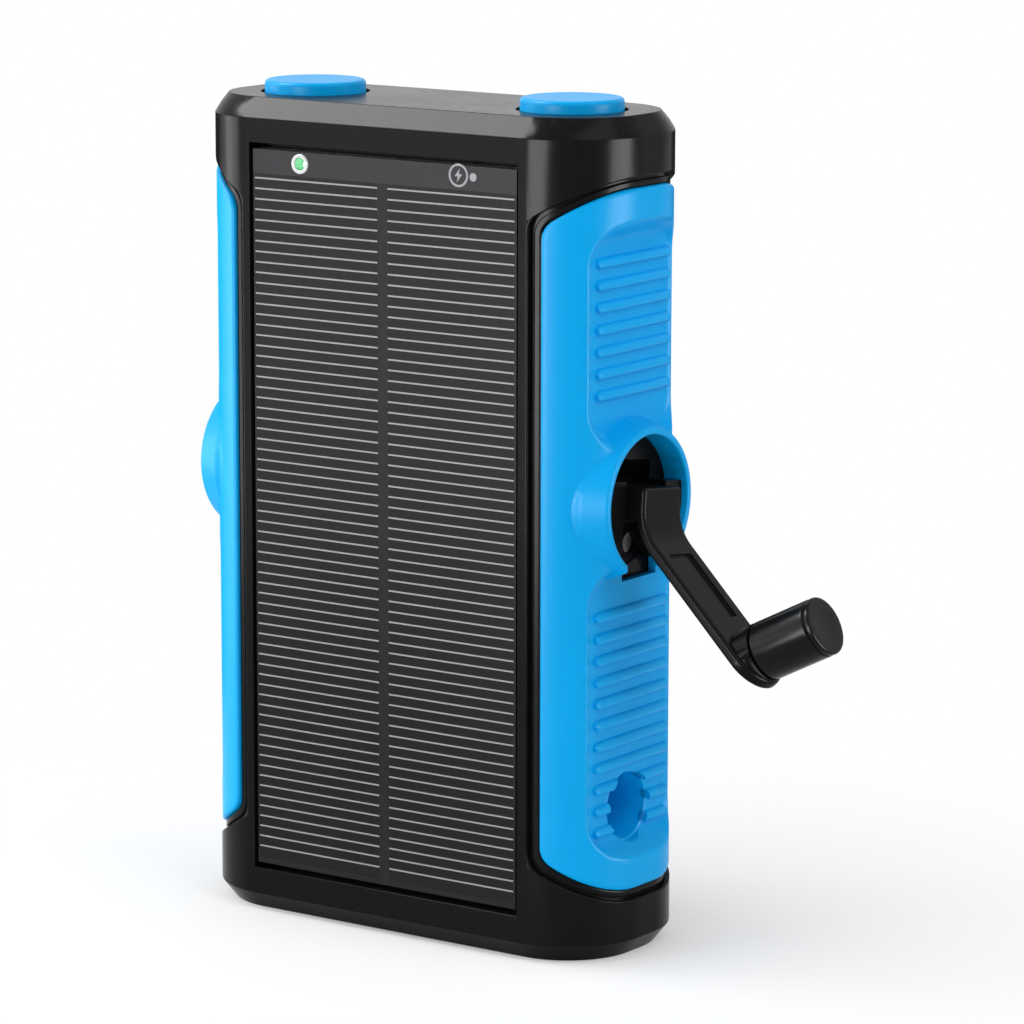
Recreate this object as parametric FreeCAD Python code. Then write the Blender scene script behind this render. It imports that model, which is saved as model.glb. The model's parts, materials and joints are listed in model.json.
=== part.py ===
import FreeCAD, Part
import math
import os

# Hand crank generator: an upright power bank with a solar panel on its front, blue side grips,
# two push buttons on top and a hinged crank on the right, which drives a small generator.
# Millimetres. +X is the crank side, -Y the panel side, +Z up; the origin is the middle of the
# bottom face that the case stands on.

Vec = FreeCAD.Vector

# ---- driving dimensions -------------------------------------------------------------------

# case
case_width = 96.5
case_depth = 38.8
case_height = 160.0
case_corner = 16.8          # radius of the upright corners
top_chamfer_height = 3.75
top_chamfer_inset = 2.3
bottom_chamfer_height = 3.5
bottom_chamfer_inset = 2.75
end_wall = 2.4              # top and bottom walls
cap_wall = 2.2              # side wall above the grips
cap_room_height = 7.0       # full-width room under the top wall
side_wall = 2.0             # wall behind the grips
front_wall = 1.6            # wall behind the solar panel

# side grips
grip_front_margin = 12.35   # case side to the grip's edge on the front face
grip_depth_inset = 0.56     # case face to the grip's front and back edges
grip_end_margin = 13.3      # case end to the grip's end
grip_corner_y = 14.4
grip_corner_z = 8.5
grip_sink = 0.15            # grip skin under the case skin
grip_skin = 2.0
grip_seat_gap = 0.15        # grip to its seat, all round
groove_width_x = 2.8        # bare case band before the grip, on the front face
groove_width_z = 2.4        # the same band above and below the grip
groove_width_y = 0.49
groove_depth = 1.0
pocket_depth = 5.0          # ribbed pocket, under the widest line of the case
pocket_floor_half = 13.6
pocket_skin = 1.6           # skin under the pocket floor
pocket_end_margin = 9.2     # grip end to the end of the pocket floor
pocket_boss_gap = 13.5      # crank axis to the pocket's near end
pocket_corner = 5.0
pocket_draft = 3.2          # the pocket walls lean out by this over its depth
rib_half_length = 10.7
rib_width = 1.85
rib_height = 1.0
rib_root = 0.5              # how far a rib's foot is sunk into the floor
rib_pitch = 4.15
rib_first_offset = 4.35     # pocket's outer end to the first rib's centre
rib_last_offset = 7.0       # least room from the last rib to the pocket's boss end
grip_screw_high = 5.8       # grip's top to its upper screw
grip_screw_low = 4.0        # grip's bottom to its lower screw
grip_screw_bite = 4.0       # screw length in the grip
screw_end_gap = 0.3         # hole left past a screw's tip

# boss, well and stowing hole of the right grip
crank_rise = 7.0            # crank axis above the case's middle
boss_radius = 14.4
boss_flare = 1.6            # extra radius at the pocket floor
well_radius = 12.95
notch_half_width = 7.5
stow_hole_radius = 6.35
stow_hole_rise = 5.6        # pocket floor's lower end up to the hole's axis
stow_hole_depth = 17.2      # from the pocket floor
stow_cup_wall = 1.5

# solar panel
recess_side_margin = 16.85  # case side to the recess
recess_bottom = 8.6
recess_top_margin = 8.5
panel_sink = 0.4            # window face under the case face
panel_gap = 0.6             # panel to the recess wall
tape_thickness = 0.3
panel_board_thickness = 1.5
cell_thickness = 0.3
window_thickness = 1.1
column_gap = 2.4            # between the two cell columns
column_edge = 0.5           # cell column to the panel's side edge
column_bottom = 1.6         # panel's bottom edge to the cells
column_top = 5.2            # panel's top edge to the cells
led_x = -19.4
led_drop = 2.8              # panel's top edge down to the lamp
led_ring_radius = 1.95
led_lens_radius = 1.2
led_proud = 0.3
led_fit = 0.1

# back cover
cover_side_margin = 17.25   # case side to the cover's edge
cover_thickness = 2.2
cover_end_margin = 7.5      # case end to the cover's end
cover_gap = 0.2
cover_corner = 3.0
cover_ledge = 2.2
seal_thickness = 0.6
cover_screw_inset = 3.5     # cover's side edge to the screws
cover_screw_end = 11.5      # case end to the first and last screws
cover_screw_middle = 64.0
cover_boss_radius = 3.2
cover_boss_gap = 0.6        # screw bosses to the battery cells
screw_radius = 1.25         # small self-tapping screws, M2.5
screw_head_radius = 2.3
screw_head_height = 1.2
cover_screw_short = 0.3     # screw's end inside its boss

# push buttons
button_inset = 18.12        # case side to the button's axis
button_radius = 9.8
button_rise = 2.27          # above the case top
button_edge = 1.5
button_well_gap = 0.8
button_flange = 0.8         # flange past the well's edge
button_flange_height = 1.4
button_free_gap = 0.1
button_travel = 0.8
button_stem_radius = 1.8
button_stem_length = 2.8

# switches and their board
plunger_radius = 1.5
plunger_rise = 1.6
plunger_length = 2.6
plunger_gap = 0.1
switch_side = 6.2
switch_height = 2.6
button_board_past = 4.87    # board's end past the button's axis
button_board_half_depth = 6.5
board_thickness = 1.6
button_post_x = 10.0
post_radius = 2.4
board_screw_length = 4.5

# crank hub
hub_turn = -7.0             # degrees about X at rest
hub_gap = 0.35              # hub to well, radial
hub_floor_gap = 0.3         # hub to the cup's floor
hub_disc = 6.4
hub_back_wall = 2.8         # slot floor to the hub's back
hub_step = 1.6              # higher slot floor below the hinge
cheek_rise = 3.8            # cheeks above the disc's face
ledge_above_hinge = 4.4
slot_gap = 0.3
relief_reach = 8.2          # heel relief above the hinge
relief_root = 0.5           # how far the relief starts under the slot's upper end
flange_radius = 11.4
flange_thickness = 1.4
flange_fit = 0.1
hub_screw_side = 4.4
hub_screw_drop = 8.4
hub_screw_radius = 1.1
hub_screw_head_radius = 1.9
hub_screw_head_height = 0.9
hub_screw_well = 2.1
cup_wall = 1.6
cup_floor = 2.0

# crank arm, in the plane through the crank axis: x outwards, drop downwards
hinge_x = 43.6
hinge_drop = 0.4
hinge_pin_radius = 1.25
hinge_running = 0.05
hinge_pin_sink = 0.3        # pin's ends under the hub's rim
knuckle_radius = 3.6
lug_foot = 2.5              # lug's foot on the arm, below the hinge
arm_width = 12.8
arm_thickness = 2.2
arm_root_x = 48.9           # inner face of the upright root
arm_root_bottom = 0.2       # drop where the bend starts
arm_bend_radius = 12.0      # inner face
arm_slope = 47.0            # degrees out from straight down
arm_reach = 26.8            # straight run from the bend to the knob's place
arm_channel_width = 7.4
arm_channel_depth = 0.6
arm_channel_start = 2.0
arm_channel_end = 9.5

# knob
knob_tilt = 27.2            # degrees above the crank axis
knob_radius = 5.65
knob_length = 12.55
knob_cap_length = 1.3
knob_seat_rise = 2.25       # knob's foot above the arm's face, on the knob axis
knob_gap = 0.25
axle_radius = 1.6
axle_running = 0.05
axle_head_radius = 2.9
axle_head_height = 1.2
axle_head_room = 0.4
knob_cap_plug = 1.0

# crank shaft and bush
shaft_radius = 3.0
shaft_running = 0.05
bush_radius = 4.5
bush_flange_radius = 6.0
bush_flange_thickness = 0.9
bush_proud = 0.3            # past the gearbox's front plate

# gear train
gear_module = 0.6
dedendum_factor = 1.25      # tooth depth under the pitch circle, in modules
flank_steps = 4             # straight pieces per tooth flank
pressure_angle = 25.0
gear_teeth = 42
pinion_teeth = 12
gear_backlash = 0.10
tip_trim = 0.03
gear_face = 3.0
pinion_extra = 0.9          # pinions are wider than the gears they meet
gear_side_gap = 0.9
idler_web = 1.0             # between the idler's pinion and its gear
idler_shaft_radius = 1.25
idler_running = 0.05
idler_hub_radius = 3.4
idler_end_gap = 0.3         # idler's hub to the rear plate
clip_radius = 4.6
clip_thickness = 0.8
clip_groove = 0.6

# gearbox
gear_plate_thickness = 2.0
gear_plate_half_width = 11.5
gear_plate_below = 22.2     # plates' lower end under the crank axis
gear_plate_above = 18.0     # plates' upper end over the generator's axis
gear_room = 11.9            # between the plates
spacer_radius = 2.4
gear_screw_y = 7.6
gear_screw_inset = 3.2
gear_boss_radius = 2.6

# generator
can_radius = 12.0
can_length = 24.0
can_wall = 0.8
can_nose_radius = 3.2
can_nose_length = 1.6
end_cap_length = 3.2
magnet_thickness = 2.0
magnet_span = 140.0         # degrees
magnet_end_gap = 0.6        # magnets to the can's closed end
magnet_start_gap = 1.0      # commutator's end to the magnets
air_gap = 0.4
rotor_core_length = 13.0
rotor_core_inset = 0.5      # core's end inside the magnets' end
rotor_slots = 5
rotor_slot_width = 1.6
rotor_slot_depth = 4.6
rotor_shaft_radius = 1.0
rotor_running = 0.05
rotor_shaft_sink = 0.6      # shaft's end inside the end cap's face
commutator_radius = 2.6
commutator_length = 4.0
commutator_gap = 0.3        # end cap to the commutator
brush_height = 1.6
brush_width = 2.4
brush_length = 4.0
brush_gap = 0.1

# batteries
cell_length = 65.0
cell_button_radius = 3.0
cell_button_height = 0.8
cell_count = 3
cell_side_gap = 0.9         # first cell to the case's inner wall
cell_gap = 0.6              # between neighbouring cells
cell_gearbox_gap = 0.85     # last cell to the gearbox
cell_y = 1.5
contact_thickness = 0.3
contact_half_depth = 3.0
holder_gap = 0.1
holder_floor = 1.2
holder_half_depth = 9.0     # how far the cradle reaches round the cells
holder_top_gap = 6.0        # cradle's top to the cells' top

# main board
main_board_width = 24.0
main_board_side_gap = 1.5   # board to the case's inner wall
main_board_low_gap = 4.1    # cells' top to the board
main_board_high_gap = 2.5   # board to the button board
main_board_y = 1.8
board_post_inset = 3.2
port_inset = 7.0            # board's right edge to the sockets' middle
usb_a_drop = 14.0           # board's top down to the socket's middle
usb_a_width = 13.1
usb_a_height = 5.7
usb_a_tongue_width = 11.0
usb_a_tongue = 1.9
usb_c_drop = 27.0
usb_c_width = 9.0
usb_c_height = 3.3
usb_c_tongue_width = 6.7
usb_c_tongue = 0.7
port_wall = 0.4
port_back = 2.0             # solid back of a socket's shell
tongue_root = 1.0           # tongue's foot inside that back
tongue_inset = 1.5          # tongue's tip behind the socket's mouth
port_sink = 0.6
port_gap = 0.2
coil_side = 9.0
coil_height = 5.0
coil_rise = 23.0            # board's bottom up to the coil's middle
capacitor_radius = 3.0
capacitor_height = 7.0
capacitor_rise = 9.0
capacitor_pitch = 7.5
capacitor_count = 3

# cutting and trimming shapes
half_turn = 180.0           # degrees
over = 1.0                  # how far a cut runs past the surface it opens
past = 5.0                  # how far a wide cut runs past the whole case
tolerance = 1e-6

# ---- places worked out from the sizes -----------------------------------------------------

half_width = case_width / 2
half_depth = case_depth / 2
front_y = -half_depth
back_y = half_depth
grip_front_edge = half_width - grip_front_margin
grip_half_depth = half_depth - grip_depth_inset
grip_bottom = grip_end_margin
grip_top = case_height - grip_end_margin
crank_z = case_height / 2 + crank_rise
upper_pocket = (crank_z + pocket_boss_gap, grip_top - pocket_end_margin)
lower_pocket = (grip_bottom + pocket_end_margin, crank_z - pocket_boss_gap)
stow_hole_z = lower_pocket[0] + stow_hole_rise
pocket_x = half_width - pocket_depth
stow_end = pocket_x - stow_hole_depth
stow_cup_radius = stow_hole_radius + stow_cup_wall
grip_back_x = pocket_x - pocket_skin
core_x = grip_back_x - grip_seat_gap
room_x = core_x - side_wall
core_inset = grip_sink + grip_skin + grip_seat_gap
room_inset = core_inset + side_wall

recess_half_width = half_width - recess_side_margin
recess_top = case_height - recess_top_margin
window_y = front_y + panel_sink
cells_y = window_y + window_thickness
panel_board_y = cells_y + cell_thickness
tape_y = panel_board_y + panel_board_thickness
recess_y = tape_y + tape_thickness
room_front_y = recess_y + front_wall
panel_half_width = recess_half_width - panel_gap
panel_bottom = recess_bottom + panel_gap
panel_top = recess_top - panel_gap

cover_y = back_y - cover_thickness
ledge_y = cover_y - seal_thickness
cover_half_width = half_width - cover_side_margin
cover_screw_x = cover_half_width - cover_screw_inset
cover_bottom = cover_end_margin
cover_top = case_height - cover_end_margin

hub_radius = well_radius - hub_gap
hub_face_x = pocket_x
hub_back_x = hub_face_x - hub_disc
cup_floor_x = hub_back_x - hub_floor_gap
cup_back_x = cup_floor_x - cup_floor
slot_floor_x = hub_back_x + hub_back_wall
slot_step_x = slot_floor_x + hub_step
cheek_x = hub_face_x + cheek_rise
slot_half = arm_width / 2 + slot_gap

gear_plate_x = cup_back_x - gear_plate_thickness
rear_plate_right = gear_plate_x - gear_room
rear_plate_x = rear_plate_right - gear_plate_thickness
gear_pitch_radius = gear_module * gear_teeth / 2
pinion_pitch_radius = gear_module * pinion_teeth / 2
centre_distance = gear_pitch_radius + pinion_pitch_radius
idler_z = crank_z + centre_distance
rotor_z = idler_z + centre_distance
gear_plate_bottom = crank_z - gear_plate_below
gear_plate_top = rotor_z + gear_plate_above
drive_gear_right = gear_plate_x - gear_side_gap
drive_gear_left = drive_gear_right - gear_face
idler_pinion_left = drive_gear_left - pinion_extra / 2
idler_pinion_right = drive_gear_right + pinion_extra / 2
idler_gear_right = idler_pinion_left - idler_web
idler_gear_left = idler_gear_right - gear_face
rotor_pinion_left = idler_gear_left - pinion_extra / 2
rotor_pinion_right = idler_gear_right + pinion_extra / 2
shaft_end_x = drive_gear_left - clip_thickness - clip_groove

cell_bay = rear_plate_x - cell_gearbox_gap + room_x - cell_side_gap
cell_radius = (cell_bay - (cell_count - 1) * cell_gap) / (2 * cell_count)
cell_pitch = 2 * cell_radius + cell_gap
cover_boss_length = ledge_y - cell_y - cell_radius - cover_boss_gap
cover_screw_length = cover_boss_length - cover_screw_short

can_right = rear_plate_x
can_left = can_right - can_length
magnet_inner = can_radius - can_wall - magnet_thickness
rotor_radius = magnet_inner - air_gap

top_wall_z = case_height - end_wall
button_x = half_width - button_inset
button_top = case_height + button_rise
button_well_radius = button_radius + button_well_gap
button_flange_radius = button_well_radius + button_flange
button_flange_top = top_wall_z - button_free_gap
button_flange_bottom = button_flange_top - button_flange_height
stem_bottom = button_flange_bottom - button_stem_length
switch_top = stem_bottom - plunger_rise
button_board_top = switch_top - switch_height
button_board_bottom = button_board_top - board_thickness
button_board_half_length = button_x + button_board_past

holder_bottom = end_wall
cell_bottom = holder_bottom + holder_floor + contact_thickness
cell_top = cell_bottom + cell_length
first_cell_x = cell_side_gap + cell_radius - room_x
main_board_left = main_board_side_gap - room_x
main_board_right = main_board_left + main_board_width
main_board_bottom = cell_top + main_board_low_gap
main_board_top = button_board_bottom - main_board_high_gap
board_back_y = main_board_y + board_thickness
board_middle_x = (main_board_left + main_board_right) / 2
port_x = main_board_right - port_inset
usb_a_z = main_board_top - usb_a_drop
usb_c_z = main_board_top - usb_c_drop
coil_z = main_board_bottom + coil_rise
capacitor_z = main_board_bottom + capacitor_rise
port_end_y = back_y - port_sink
trim_reach = arm_reach + 2 * arm_width


# ---- shape helpers ------------------------------------------------------------------------

def block(x, y, z):
    """Box from three (low, high) pairs."""
    return Part.makeBox(x[1] - x[0], y[1] - y[0], z[1] - z[0], Vec(x[0], y[0], z[0]))


def rod_x(radius, left, right, y=0.0, z=0.0):
    return Part.makeCylinder(radius, right - left, Vec(left, y, z), Vec(1, 0, 0))


def rod_y(radius, near, far, x, z):
    return Part.makeCylinder(radius, far - near, Vec(x, near, z), Vec(0, 1, 0))


def rod_z(radius, low, high, x, y=0.0):
    return Part.makeCylinder(radius, high - low, Vec(x, y, low), Vec(0, 0, 1))


def group(solids):
    return Part.Compound(list(solids))


def fused(shapes):
    result = shapes[0]
    if len(shapes) > 1:
        result = shapes[0].fuse(shapes[1:])
    return result.removeSplitter()


def mirrored(shape):
    """The same shape on the other side of the case."""
    return shape.mirror(Vec(0, 0, 0), Vec(1, 0, 0))


def round_rect_wire(half_x, half_y, radius, place):
    """Rounded rectangle; place turns flat (u, v) into a point."""
    wire_edges = []
    corners = [(1, -1), (1, 1), (-1, 1), (-1, -1)]
    turn = math.sqrt(0.5) * radius
    arcs = []
    for index, (sx, sy) in enumerate(corners):
        cx = sx * (half_x - radius)
        cy = sy * (half_y - radius)
        first = (cx, cy + sy * radius)
        last = (cx + sx * radius, cy)
        if index % 2:
            first, last = last, first
        arcs.append((first, (cx + sx * turn, cy + sy * turn), last))
    for index, (first, middle, last) in enumerate(arcs):
        wire_edges.append(Part.Arc(place(*first), place(*middle), place(*last)).toShape())
        following = arcs[(index + 1) % len(arcs)][0]
        if math.dist(last, following) > tolerance:
            wire_edges.append(Part.makeLine(place(*last), place(*following)))
    return Part.Wire(Part.__sortEdges__(wire_edges))


def case_wire(offset, z):
    return round_rect_wire(half_width + offset, half_depth + offset, case_corner + offset,
                           lambda u, v: Vec(u, v, z))


def case_prism(offset, low, high):
    """The case's rounded cross-section, grown by offset, between two heights."""
    return Part.Face(case_wire(offset, low)).extrude(Vec(0, 0, high - low))


def case_loft(offset_low, low, offset_high, high):
    return Part.makeLoft([case_wire(offset_low, low), case_wire(offset_high, high)], True, True)


def side_prism(half_y, low, high, corner_y, corner_z, left, right):
    """Outline of a side zone, with elliptic corners, run along X."""
    edges = []
    for sy in (1, -1):
        for sz in (1, -1):
            cz = high - corner_z if sz > 0 else low + corner_z
            centre = Vec(left, sy * (half_y - corner_y), cz)
            side = centre + Vec(0, sy * corner_y, 0)
            tip = centre + Vec(0, 0, sz * corner_z)
            edges.append(Part.ArcOfEllipse(Part.Ellipse(side, tip, centre), 0, math.pi / 2).toShape())
        edges.append(Part.makeLine(Vec(left, sy * half_y, low + corner_z),
                                   Vec(left, sy * half_y, high - corner_z)))
    for z in (low, high):
        edges.append(Part.makeLine(Vec(left, corner_y - half_y, z), Vec(left, half_y - corner_y, z)))
    outline = Part.Face(Part.Wire(Part.__sortEdges__(edges)))
    return outline.extrude(Vec(right - left, 0, 0))


def prism_y(points, near, far):
    """Polygon of (x, z) points run along Y."""
    corners = [Vec(x, near, z) for x, z in points]
    return Part.Face(Part.makePolygon(corners + corners[:1])).extrude(Vec(0, far - near, 0))


def turned(shape):
    """Turn a crank piece with its hub, from upright to the rest pose."""
    copy = shape.copy()
    copy.rotate(Vec(0, 0, crank_z), Vec(1, 0, 0), hub_turn)
    return copy


def pan_screw(tip, direction, length):
    """Screw with a flat round head; tip is the middle of the head's underside."""
    shank = Part.makeCylinder(screw_radius, length, tip, direction)
    head = Part.makeCylinder(screw_head_radius, screw_head_height, tip, direction * -1)
    return fused([head, shank])


def ring_x(outer, inner, left, right, y=0.0, z=0.0):
    return rod_x(outer, left, right, y, z).cut(rod_x(inner, left, right, y, z))


# ---- main case ----------------------------------------------------------------------------

def case_skin():
    low = case_loft(-bottom_chamfer_inset, 0, 0, bottom_chamfer_height)
    high_start = case_height - top_chamfer_height
    middle = case_prism(0, bottom_chamfer_height, high_start)
    high = case_loft(0, high_start, -top_chamfer_inset, case_height)
    return fused([middle, low, high])


def side_seat(half_y, low, high, corner_y, corner_z, start_x, inset, limit_x):
    """What is cut from one side of the case to leave a sunken zone."""
    edge = half_width + past
    zone = side_prism(half_y, low, high, corner_y, corner_z, start_x, edge)
    left_in = case_prism(-inset, low - over, high + over)
    if limit_x < half_width:
        left_in = left_in.common(block((-edge, limit_x), (-edge, edge), (low - past, high + past)))
    return zone.cut(left_in)


def grip_seat():
    groove = side_seat(grip_half_depth + groove_width_y, grip_bottom - groove_width_z,
                       grip_top + groove_width_z, grip_corner_y + groove_width_y,
                       grip_corner_z, grip_front_edge - groove_width_x, groove_depth, half_width)
    seat = side_seat(grip_half_depth + grip_seat_gap, grip_bottom - grip_seat_gap,
                     grip_top + grip_seat_gap, grip_corner_y + grip_seat_gap,
                     grip_corner_z + grip_seat_gap, grip_front_edge - grip_seat_gap,
                     core_inset, core_x)
    return groove, seat


def case_room():
    """The hollow inside: a deep room behind the grips and a wider one under the top wall."""
    edge = half_width + past
    core = case_prism(-room_inset, end_wall, top_wall_z)
    core = core.common(block((-room_x, room_x), (room_front_y, edge), (0, case_height)))
    cap = case_prism(-cap_wall, top_wall_z - cap_room_height, top_wall_z)
    cap = cap.common(block((-edge, edge), (room_front_y, ledge_y), (0, case_height)))
    mouth_half = cover_half_width - cover_ledge
    mouth = block((-mouth_half, mouth_half), (0, back_y),
                  (cover_bottom + cover_ledge, cover_top - cover_ledge))
    return [core, cap, mouth]


def cover_plate(gap, near, far, inset=0.0):
    """Back cover outline, grown by gap or drawn in by inset, between two depths."""
    middle_z = (cover_bottom + cover_top) / 2
    half_z = (cover_top - cover_bottom) / 2
    grow = gap - inset
    wire = round_rect_wire(cover_half_width + grow, half_z + grow, cover_corner + grow,
                           lambda u, v: Vec(u, near, middle_z + v))
    return Part.Face(wire).extrude(Vec(0, far - near, 0))


def cover_screw_places():
    heights = (cover_screw_end, cover_screw_middle, case_height - cover_screw_end)
    return [(side * cover_screw_x, z) for z in heights for side in (-1, 1)]


def board_post_places():
    xs = (main_board_left + board_post_inset, main_board_right - board_post_inset)
    zs = (main_board_bottom + board_post_inset, main_board_top - board_post_inset)
    return [(x, z) for x in xs for z in zs]


def gear_screw_places():
    zs = (gear_plate_bottom + gear_screw_inset, gear_plate_top - gear_screw_inset)
    return [(side * gear_screw_y, z) for z in zs for side in (-1, 1)]


def grip_screw_places(side):
    """Heights of the screws that hold one grip, reached from inside the case."""
    high = grip_top - grip_screw_high
    if side > 0:
        return [high, grip_bottom + grip_screw_low]
    return [high, crank_z]


def main_case():
    skin = case_skin()
    groove, seat = grip_seat()
    skin = skin.cut([groove, seat, mirrored(groove), mirrored(seat)])
    recess = block((-recess_half_width, recess_half_width), (front_y - over, recess_y),
                   (recess_bottom, recess_top))
    rebate = cover_plate(cover_gap, ledge_y, back_y + over)
    shell = skin.cut([recess, rebate] + case_room())

    cup = rod_x(well_radius + cup_wall, cup_back_x, core_x, 0, crank_z)
    inside = case_prism(-core_inset, end_wall, top_wall_z)
    inside = inside.common(block((-core_x, core_x), (recess_y, ledge_y), (0, case_height)))
    added = [cup.common(inside)]
    for x, z in cover_screw_places():
        added.append(rod_y(cover_boss_radius, ledge_y - cover_boss_length, ledge_y, x, z)
                     .common(inside))
    for x, z in board_post_places():
        added.append(rod_y(post_radius, room_front_y - front_wall / 2, main_board_y, x, z))
    for side in (-1, 1):
        added.append(rod_z(post_radius, button_board_top, top_wall_z + end_wall / 2,
                           side * button_post_x))
    for y, z in gear_screw_places():
        added.append(rod_x(gear_boss_radius, cup_back_x, core_x, y, z).common(inside))
    shell = fused([shell] + added)

    cuts = [rod_x(well_radius, cup_floor_x, core_x + over, 0, crank_z)]
    cuts.append(rod_x(bush_radius, cup_back_x - over, cup_floor_x + over, 0, crank_z))
    cuts.append(rod_x(bush_flange_radius, cup_floor_x - bush_flange_thickness, cup_floor_x + over,
                      0, crank_z))
    cuts.append(rod_x(stow_cup_radius + grip_seat_gap, room_x - over, core_x + over, 0, stow_hole_z))
    for side in (-1, 1):
        cuts.append(rod_z(button_well_radius, top_wall_z - over, case_height + over, side * button_x))
        cuts.append(rod_z(screw_radius, button_board_top - over, button_board_top + board_screw_length,
                          side * button_post_x))
        for z in grip_screw_places(side):
            hole = rod_x(screw_radius, room_x - over, core_x + over, 0, z)
            cuts.append(hole if side > 0 else mirrored(hole))
    for x, z in cover_screw_places():
        cuts.append(rod_y(screw_radius, ledge_y - cover_screw_length, ledge_y + over, x, z))
    for x, z in board_post_places():
        cuts.append(rod_y(screw_radius, main_board_y - board_screw_length, main_board_y + over, x, z))
    for y, z in gear_screw_places():
        cuts.append(rod_x(screw_radius, cup_back_x - over, core_x - side_wall / 2, y, z))
    return shell.cut(cuts)


# ---- side grips ---------------------------------------------------------------------------

def rib_heights():
    """Centres of the ribs, which start at each pocket's outer end and stop short of the boss."""
    top = upper_pocket[1] - rib_first_offset
    bottom = lower_pocket[0] + rib_first_offset - rib_pitch / 2
    upper_count = 1 + int((top - upper_pocket[0] - rib_last_offset) / rib_pitch)
    lower_count = 1 + int((lower_pocket[1] - bottom - rib_last_offset) / rib_pitch)
    upper = [top - rib_pitch * index for index in range(upper_count)]
    lower = [bottom + rib_pitch * index for index in range(lower_count)]
    return upper + lower


def pocket(low, high):
    """A ribbed pocket's hollow: a rounded floor whose walls lean outwards."""
    def outline(x, grow):
        middle = (low + high) / 2
        half_z = (high - low) / 2 + grow
        half_y = pocket_floor_half + grow / 2
        return round_rect_wire(half_y, half_z, pocket_corner,
                               lambda u, v: Vec(x, u, middle + v))
    return Part.makeLoft([outline(pocket_x, 0), outline(half_width + over, pocket_draft)], True, True)


def rib(z):
    """Half-round-ended rib on the pocket floor."""
    half = rib_width / 2
    outline = round_rect_wire(rib_half_length, half, half,
                              lambda u, v: Vec(pocket_x - rib_root, u, z + v))
    return Part.Face(outline).extrude(Vec(rib_height + rib_root, 0, 0))


def grip_blank():
    edge = half_width + past
    skin = case_prism(-grip_sink, grip_bottom - over, grip_top + over)
    zone = side_prism(grip_half_depth, grip_bottom, grip_top, grip_corner_y, grip_corner_z,
                      grip_front_edge, edge)
    inner = case_prism(-grip_sink - grip_skin, grip_bottom - past, grip_top + past)
    inner = inner.common(block((-edge, grip_back_x), (-edge, edge), (0, case_height)))
    blank = skin.common(zone).cut(inner)
    blank = blank.cut([pocket(*upper_pocket), pocket(*lower_pocket)])
    boss = Part.makeCone(boss_radius + boss_flare, boss_radius, half_width - pocket_x,
                         Vec(pocket_x, 0, crank_z), Vec(1, 0, 0))
    return fused([blank, boss] + [rib(z) for z in rib_heights()])


def grip_screw_holes(side):
    tip = core_x + grip_screw_bite + screw_end_gap
    return [rod_x(screw_radius, grip_back_x - over, tip, 0, z) for z in grip_screw_places(side)]


def grip_right():
    well = rod_x(well_radius, grip_back_x - over, half_width + over, 0, crank_z)
    notch = block((pocket_x, half_width + over), (-notch_half_width, notch_half_width),
                  (crank_z - boss_radius - boss_flare - over, crank_z - well_radius / 2))
    cup = rod_x(stow_cup_radius, stow_end - stow_cup_wall, pocket_x - rib_root, 0, stow_hole_z)
    hole = rod_x(stow_hole_radius, stow_end, half_width + over, 0, stow_hole_z)
    return grip_blank().fuse(cup).cut([well, notch, hole] + grip_screw_holes(1))


def grip_left():
    return mirrored(grip_blank().cut(grip_screw_holes(-1)))


def grip_screws():
    screws = []
    for side in (-1, 1):
        for z in grip_screw_places(side):
            screw = pan_screw(Vec(room_x, 0, z), Vec(1, 0, 0), side_wall + grip_screw_bite)
            screws.append(screw if side > 0 else mirrored(screw))
    return group(screws)


# ---- solar panel --------------------------------------------------------------------------

def panel_sheet(near, thickness):
    return block((-panel_half_width, panel_half_width), (near, near + thickness),
                 (panel_bottom, panel_top))


def solar_cell(side):
    inner = column_gap / 2
    outer = panel_half_width - column_edge
    x = (inner, outer) if side > 0 else (-outer, -inner)
    return block(x, (cells_y, cells_y + cell_thickness),
                 (panel_bottom + column_bottom, panel_top - column_top))


def led_z():
    return panel_top - led_drop


def panel_window():
    hole = rod_y(led_ring_radius + led_fit, window_y - over, cells_y + over, led_x, led_z())
    return panel_sheet(window_y, window_thickness).cut(hole)


def status_led_ring():
    outer = rod_y(led_ring_radius, window_y - led_proud, panel_board_y, led_x, led_z())
    return outer.cut(rod_y(led_lens_radius, window_y - over, panel_board_y + over, led_x, led_z()))


def status_led_lens():
    return rod_y(led_lens_radius, window_y - led_proud / 2, panel_board_y, led_x, led_z())


# ---- back cover ---------------------------------------------------------------------------

def port_openings(gap, near, far):
    shapes = []
    for z, width, height in ((usb_a_z, usb_a_width, usb_a_height),
                             (usb_c_z, usb_c_width, usb_c_height)):
        half_w = width / 2 + gap
        half_h = height / 2 + gap
        shapes.append(block((port_x - half_w, port_x + half_w), (near, far),
                            (z - half_h, z + half_h)))
    return shapes


def back_cover():
    plate = cover_plate(0, cover_y, back_y)
    cuts = port_openings(port_gap, cover_y - over, back_y + over)
    for x, z in cover_screw_places():
        cuts.append(rod_y(screw_radius, cover_y - over, back_y + over, x, z))
        cuts.append(rod_y(screw_head_radius + cover_gap, back_y - screw_head_height,
                          back_y + over, x, z))
    return plate.cut(cuts)


def case_seal():
    ring = cover_plate(0, ledge_y, cover_y)
    inner_half = cover_half_width - cover_ledge + cover_gap
    inner = block((-inner_half, inner_half), (ledge_y - over, cover_y + over),
                  (cover_bottom + cover_ledge, cover_top - cover_ledge))
    ears = [rod_y(cover_boss_radius, ledge_y, cover_y, x, z) for x, z in cover_screw_places()]
    holes = [rod_y(screw_radius, ledge_y - over, cover_y + over, x, z) for x, z in cover_screw_places()]
    return fused([ring.cut(inner)] + ears).cut(holes)


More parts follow.
